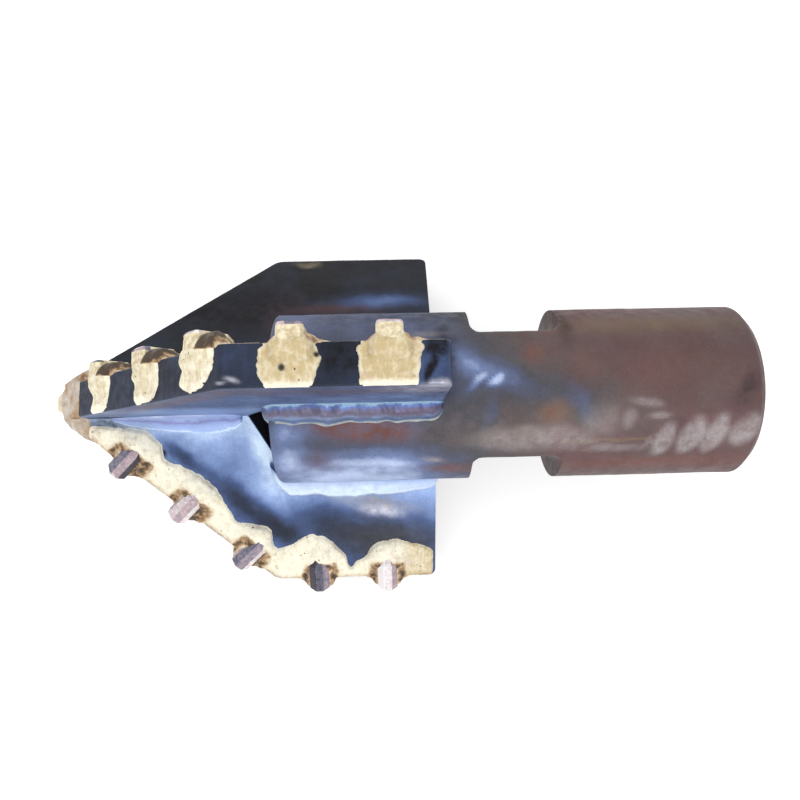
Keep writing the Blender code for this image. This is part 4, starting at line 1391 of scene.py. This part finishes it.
@dataclass
class Welds:
    """All of the bit's welds."""
    bit: Bit
    leg: float = 9.0
    first: float = 119.5                  # station at which a bead without a curl starts
    last: float = 201.2
    curls: tuple[tuple[float, float], ...] = (        # how far ahead each wing's two beads start
        (9.0, 6.0), (9.0, 0.0), (9.0, 0.0))
    rim_stations: Triple = (110.0, 116.5, 121.0)      # where a curl comes round the shank's rim
    rim_radii: tuple[float, float] = (35.0, 41.5)     # of its path until it is on the outside
    bulge: float = 1.9
    heat: float = 0.1
    toe_sunk: float = 0.35
    root_sunk: tuple[float, float] = (1.5, 2.0)       # into the wing and into the shank
    bright: tuple[int, int] = (1, 1)                  # wing and side of the bead that is burnt bright, with a painted highlight along its crown
    bright_bulge: float = 3.2
    bright_heat: float = 0.95
    bright_reach: float = 0.40            # how much further the bright bead runs up the wing
    groove_leg: float = 9.6
    groove_first: float = 30.0
    groove_bulge: float = -0.9
    groove_toe_sunk: float = 0.3
    groove_root_sunk: float = 2.5
    rows: int = 260

    def taper(self, t: np.ndarray, length: float, end: float) -> np.ndarray:
        """Share of full size along a bead: a quarter circle at each end."""
        return 0.12 + 0.88 * quarter(unit(np.minimum(t, 1 - t) * length / end))

    def wing_bead(self, index: int, side: int) -> Bead:
        """Fillet between a wing's face and the shank.

        Its path follows the corner between them, and with a curl it first comes up the
        shank's front face and round its rim. One bead is burnt bright, swells more and
        reaches further up its wing.

        Args:
            index: The wing.
            side: 1 for the leading face, -1 for the trailing one.

        Returns:
            The bead.
        """
        b, bright = self.bit, (index, side) == self.bright
        curl = self.curls[index][side < 0]
        t = np.linspace(0, 1, self.rows)
        station = (self.first - curl) + (self.last - self.first + curl) * t
        seat = np.full(t.size, b.shank_radius)
        if curl:
            seat = np.interp(station, self.rim_stations, (*self.rim_radii, b.shank_radius))
        path = b.on_wing(index, station, 0.0, seat)
        leg = self.leg * self.taper(t, length=80, end=7) * (1 + 0.10 * noise(path, 12, 101 + index))
        up = leg * (1 + 0.11 * rough(path, 9, 103 + 2 * index + side, 2))
        foot = leg * (1 + 0.12 * rough(path + 50, 9, 104 + 2 * index + side, 2))
        wide = b.half_plate + foot
        low = np.sqrt(seat ** 2 - b.half_plate ** 2)
        if bright:
            up = up + self.bright_reach * up * np.interp(t, (0, 0.15, 0.75, 1), (0.3, 1, 1, 0))
        toe_radius = np.sqrt(np.maximum(seat ** 2 - wide ** 2, 0)) - self.toe_sunk
        into, down = self.root_sunk
        word = "leading" if side > 0 else "trailing"
        return Bead(
            f"wing_bead_{index + 1}_{word}", f"wing_weld_{index + 1}_{word}",
            b.on_wing(index, station, side * (b.half_plate - self.toe_sunk), low + up),
            b.on_wing(index, station, side * wide, toe_radius),
            b.on_wing(index, station, side * (b.half_plate - into), low - down),
            b.direction(b.wing_angles[index], float(side), 1.0), self.bright_bulge if bright else self.bulge,
            110 + 3 * index + side, self.bright_heat if bright else self.heat)

    def groove_bead_with_highlights(self, index: int) -> Bead:
        """Smooth hollow fillet in the groove between a wing and the next, ahead of the mouth.

        Args:
            index: The wing ahead of the groove.

        Returns:
            The bead.
        """
        b = self.bit
        half = radians(b.half_angles(index)[0])
        middle = b.wing_angles[index] + b.half_angles(index)[0]
        t = np.linspace(0, 1, self.rows)
        station = self.groove_first + (b.mouth_start - self.groove_first) * t
        corner = b.half_plate / sin(half)
        grow = np.interp(t, (0, 0.5, 1), (0.50, 0.95, 1.25)) * self.taper(t, length=60, end=17)
        path = b.place(middle, station, 0.0, corner)
        leg = self.groove_leg * grow * (1 + 0.10 * noise(path, 14, 131 + index))
        aside = sin(half) * leg - self.groove_toe_sunk * cos(half)
        out = corner + cos(half) * leg - self.groove_toe_sunk * sin(half)
        return Bead(f"groove_bead_with_highlights_{index + 1}", f"groove_weld_{index + 1}",
                    b.place(middle, station, aside, out), b.place(middle, station, -aside, out),
                    b.place(middle, station, 0.0, corner - self.groove_root_sunk), b.direction(middle, 0.0, 1.0),
                    self.groove_bulge, 140 + index, soft=0.2, ripple=0.05, pitch=7)

    def build(self, finish: Material, groove: Material, bright: Material) -> None:
        """Put every bead in the scene, in its own finish."""
        for index in range(len(self.bit.wing_angles)):
            for side in (1, -1):
                self.wing_bead(index, side).build(bright if (index, side) == self.bright else finish)
            self.groove_bead_with_highlights(index).build(groove)


@dataclass
class Studio:
    """Floor, light and camera."""
    lens: float = 34.429
    sensor: float = 36.0
    camera_at: Triple = (-0.006022, -0.091646, 0.469005)
    camera_axes: tuple[Triple, ...] = (   # right, up and back
        (0.99956, -0.02589, 0.01461), (0.02199, 0.97471, 0.22244), (-0.02000, -0.22202, 0.97484))
    lamps: tuple[tuple[str, Triple, float, float], ...] = (   # name, place, size and power
        ("overhead", (-0.7, 0.7, 1.5), 1.4, 6.0), ("front", (0.3, -1.5, 1.2), 1.0, 10.0))
    sky: tuple[float, float] = (0.95, 1.0)                    # on the bit, and seen
    floor_half: float = 6.0
    floor_grey: float = 0.80
    floor_glow: float = 0.42

    @staticmethod
    def link(name: str, data: Any, place: Matrix | None = None) -> bpy.types.Object:
        """Put an object of the studio in the scene."""
        made = bpy.data.objects.new(name, data)
        made.matrix_world = place or Matrix.Identity(4)
        bpy.context.scene.collection.objects.link(made)
        return made

    def floor(self) -> None:
        """Plain pale floor, white to the camera and in reflections, that keeps a soft shadow."""
        half = self.floor_half
        mesh = bpy.data.meshes.new("floor")
        mesh.from_pydata([(-half, -half, 0), (half, -half, 0), (half, half, 0), (-half, half, 0)], [], [(0, 1, 2, 3)])
        g = Graph(bpy.data.materials.new("pale_floor"))
        path = g.add('ShaderNodeLightPath').outputs
        mirrored = g.math('MAXIMUM', path['Is Glossy Ray'], path['Is Transmission Ray'])
        seen = g.math('MAXIMUM', path['Is Camera Ray'], mirrored)
        diffuse = g.add('ShaderNodeBsdfDiffuse', {'Color': (*[self.floor_grey] * 3, 1)}).outputs[0]
        glow = g.add('ShaderNodeEmission', {'Color': (1, 1, 1, 1), 'Strength': g.times(seen, self.floor_glow)})
        mesh.materials.append(g.close(g.add('ShaderNodeAddShader', {0: diffuse, 1: glow.outputs[0]}).outputs[0]))
        made = self.link("floor", mesh)

    def light(self) -> None:
        """A broad lamp overhead, a smaller and stronger one in front, and an even sky."""
        world = bpy.data.worlds.new("studio")
        bpy.context.scene.world = world
        g = Graph(world, 'ShaderNodeOutputWorld')
        path = g.add('ShaderNodeLightPath').outputs
        seen = g.math('MAXIMUM', path['Is Camera Ray'], path['Is Glossy Ray'])
        level = g.add('ShaderNodeMapRange', {'Value': seen, 'To Min': self.sky[0], 'To Max': self.sky[1]}).outputs[0]
        g.close(g.add('ShaderNodeBackground', {'Color': (1, 1, 1, 1), 'Strength': level}).outputs[0])
        for name, place, size, power in self.lamps:
            lamp = bpy.data.lights.new(name, 'AREA')
            lamp.size = size
            lamp.energy = power
            aim = Vector(place).to_track_quat('Z', 'Y').to_matrix().to_4x4()
            self.link(name, lamp, Matrix.Translation(place) @ aim)

    def camera(self) -> None:
        """Camera at the photograph's place, from its three axes."""
        data = bpy.data.cameras.new("camera")
        data.lens = self.lens
        data.sensor_width = self.sensor
        rows = zip(*self.camera_axes, self.camera_at)
        bpy.context.scene.camera = self.link("camera", data, Matrix((*rows, (0, 0, 0, 1))))

    def build(self) -> None:
        """Set up the studio."""
        self.floor()
        self.light()
        self.camera()
        bpy.context.scene.view_settings.view_transform = 'Standard'


# The bit as a whole

WING_GLOWS = (                            # upper, near and far wing
    {Face.LEADING: (0.15, 0.55, 25.0), Face.EDGE: (0.19, 0.19, 1.0), Face.TRAILING: (0.36, 0.52, 22.0)},
    {Face.LEADING: (0.34, 0.92, 34.0), Face.EDGE: (0.2, 0.2, 1.0), Face.TRAILING: (0.1, 0.4, 20.0)},
    {Face.LEADING: (0.3, 0.8, 30.0), Face.EDGE: (0.15, 0.15, 1.0), Face.TRAILING: (0.02, 0.16, 18.0)},
)
UPPER_PATCHES = {
    Face.EDGE: listed({                   # station and distance towards the leading face
        Stain.SCORCH: (
            (156, 2, 8, 9, 0.9), (193.5, 6, 4.6, 3.2, 1.2, 0, 5), (191.6, -1.5, 1.6, 6.5, 1.1, -8, 4),
            (50, 0, 46, 10, 0.60),
        ),
        Stain.BARE: ((113, -6.6, 2.0, 1.0, 0.7, -20), (109.5, -7.6, 1.4, 0.5, 0.6, -10), (195, -8.5, 5, 1.2, 0.7)),
        Stain.HEAT: ((192, -2, 9, 9, 0.20), (50, 0, 45, 10, 0.06)),
    }),
    Face.TRAILING: listed({               # station and distance out from the axis
        Stain.SCORCH: ((28, 11, 10, 4, 0.9), (197, 81, 1.5, 1.5, 1)),
        Stain.RUST: (
            (116, 99, 46, 3.5, 0.40), (152, 92, 48, 8, 0.30), (82, 68, 50, 5, 0.45, 45), (190, 95, 10, 6, 0.3),
        ),
        Stain.HEAT: (
            (170, 70, 30, 9, 0.10), (76, 50, 46, 5, 0.06, 45), (95, 74, 30, 9, -0.06, 45), (80, 29, 46, 15, 0.30),
        ),
        Stain.BARE: ((194, 105, 7, 5, 0.6), (187, 96, 13, 12, 0.35)),
    }),
}
NEAR_PATCHES = {
    Face.LEADING: listed({
        Stain.SCORCH: ((26, 10, 12, 5, 0.95), (54.5, 26.5, 1.6, 2.2, 1.2, 0, 4)),
        Stain.HEAT: (
            (105, 54, 9, 24, 0.22), (98, 60, 24, 6.5, -0.38, 45), (112, 76, 12, 8, -0.20, 45),
            (62, 27, 9, 3.5, -0.35, 45), (74, 36, 7, 4, -0.15, 45), (142, 72, 24, 15, -0.34),
            (182, 84, 24, 17, -0.34), (194, 60, 9, 7, -0.05),
        ),
        Stain.STRAW: ((174, 84, 28, 12, 0.07), (165, 58, 20, 4, 0.5, 12)),
        Stain.BARE: ((170, 64, 10, 3, 0.75, 8),),
    }),
}
FAR_PATCHES = {
    Face.TRAILING: listed({
        Stain.SCORCH: ((85, 64, 60, 24, 0.7),),
        # A painted sheen on the far wing's dark trailing face.
        Stain.HEAT: ((172, 68, 26, 6, 0.45),),
        Stain.RUST: ((138, 62, 26, 4, 0.5), (118, 55, 10, 14, 0.35)),
        Stain.STRAW: ((128, 104, 6, 2, 0.6),),
    }),
}
WING_PATCHES = (UPPER_PATCHES, NEAR_PATCHES, FAR_PATCHES)
MOUTH_SKEWS = ((0.0, 0.0), (10.5, 0.0), (0.0, 10.5))


def wings(bit: Bit) -> list[tuple[Wing, Teeth, BrazeBand]]:
    """The three wings as they look in the photograph.

    Args:
        bit: Sizes of the bit.

    Returns:
        Each wing's plate, teeth and braze.
    """
    rows = (
        Teeth(bit, 0, 1.5, (1.0, 0.7, 1.0, 1.0, 1.0), (0.3, 0.2, 0.5, 0.3, 0.6), squareness=0.9,
              standouts=(4.0, 4.0, 4.0, 6.0, 6.0), nudges=(1.6, 1.6, 1.6, 0.0, 0.0)),
        Teeth(bit, 1, -1.5, (0.1, 0.15, 0.25, 0.1, 0.25), (0.08, 0.60, 0.44, 0.08, 0.90), contrast=0.85,
              standouts=(6.0, 6.0, 6.0, 5.2, 6.0), nudges=(2.0, -0.5, 0.0, 0.0, 0.0)),
        Teeth(bit, 2, 0.0, (0.6, 0.4, 0.3, 0.5, 0.4), (0.4, 0.5, 0.3, 0.4, 0.5)),
    )
    bands = (
        BrazeBand(bit, rows[0], lean=0.07, ahead=6.0), BrazeBand(bit, rows[1], tails=0.25),
        BrazeBand(bit, rows[2], lean=0.10, ahead=9.0, reach=0.4))
    plates = [Wing(bit, *parts) for parts in zip(range(len(rows)), WING_GLOWS, WING_PATCHES, MOUTH_SKEWS)]
    return list(zip(plates, rows, bands))


def main() -> None:
    """Build the bit's sub-assemblies in order and set up the studio."""
    bit = measured_bit()
    Shank(bit).build(SteelFinish("scaled_shank_steel", SHANK_TEMPER, straw=(0.19, 0.13, 0.085),
                                 bare=(0.33, 0.29, 0.295), roughness=0.55, metallic=0.35, streak=0.12).material())
    steel = SteelFinish("heat_tinted_plate", WING_TEMPER).material()
    carbide, braze = CarbideFinish().material(), BrazeFinish().material()
    for plate, teeth, band in wings(bit):
        plate.build(steel)
        teeth.build(carbide)
        band.build(braze)
    Nose(bit).build(carbide, BrazeFinish("nose_braze", pale=(0.78, 0.72, 0.64), gold=(0.34, 0.27, 0.20)).material())
    Welds(bit).build(BeadFinish("weld_bead", FOOT_BANDS).material(),
                     BeadFinish("groove_bead_with_highlights", GROOVE_BANDS_WITH_HIGHLIGHTS).material(),
                     BeadFinish("bright_bead_with_highlight", BRIGHT_BANDS_WITH_HIGHLIGHT, glow=(0.66, 0.77, 0.92)).material())
    Studio().build()


if __name__ == "__main__":
    logging.basicConfig(level=logging.INFO, format="%(message)s")
    main()
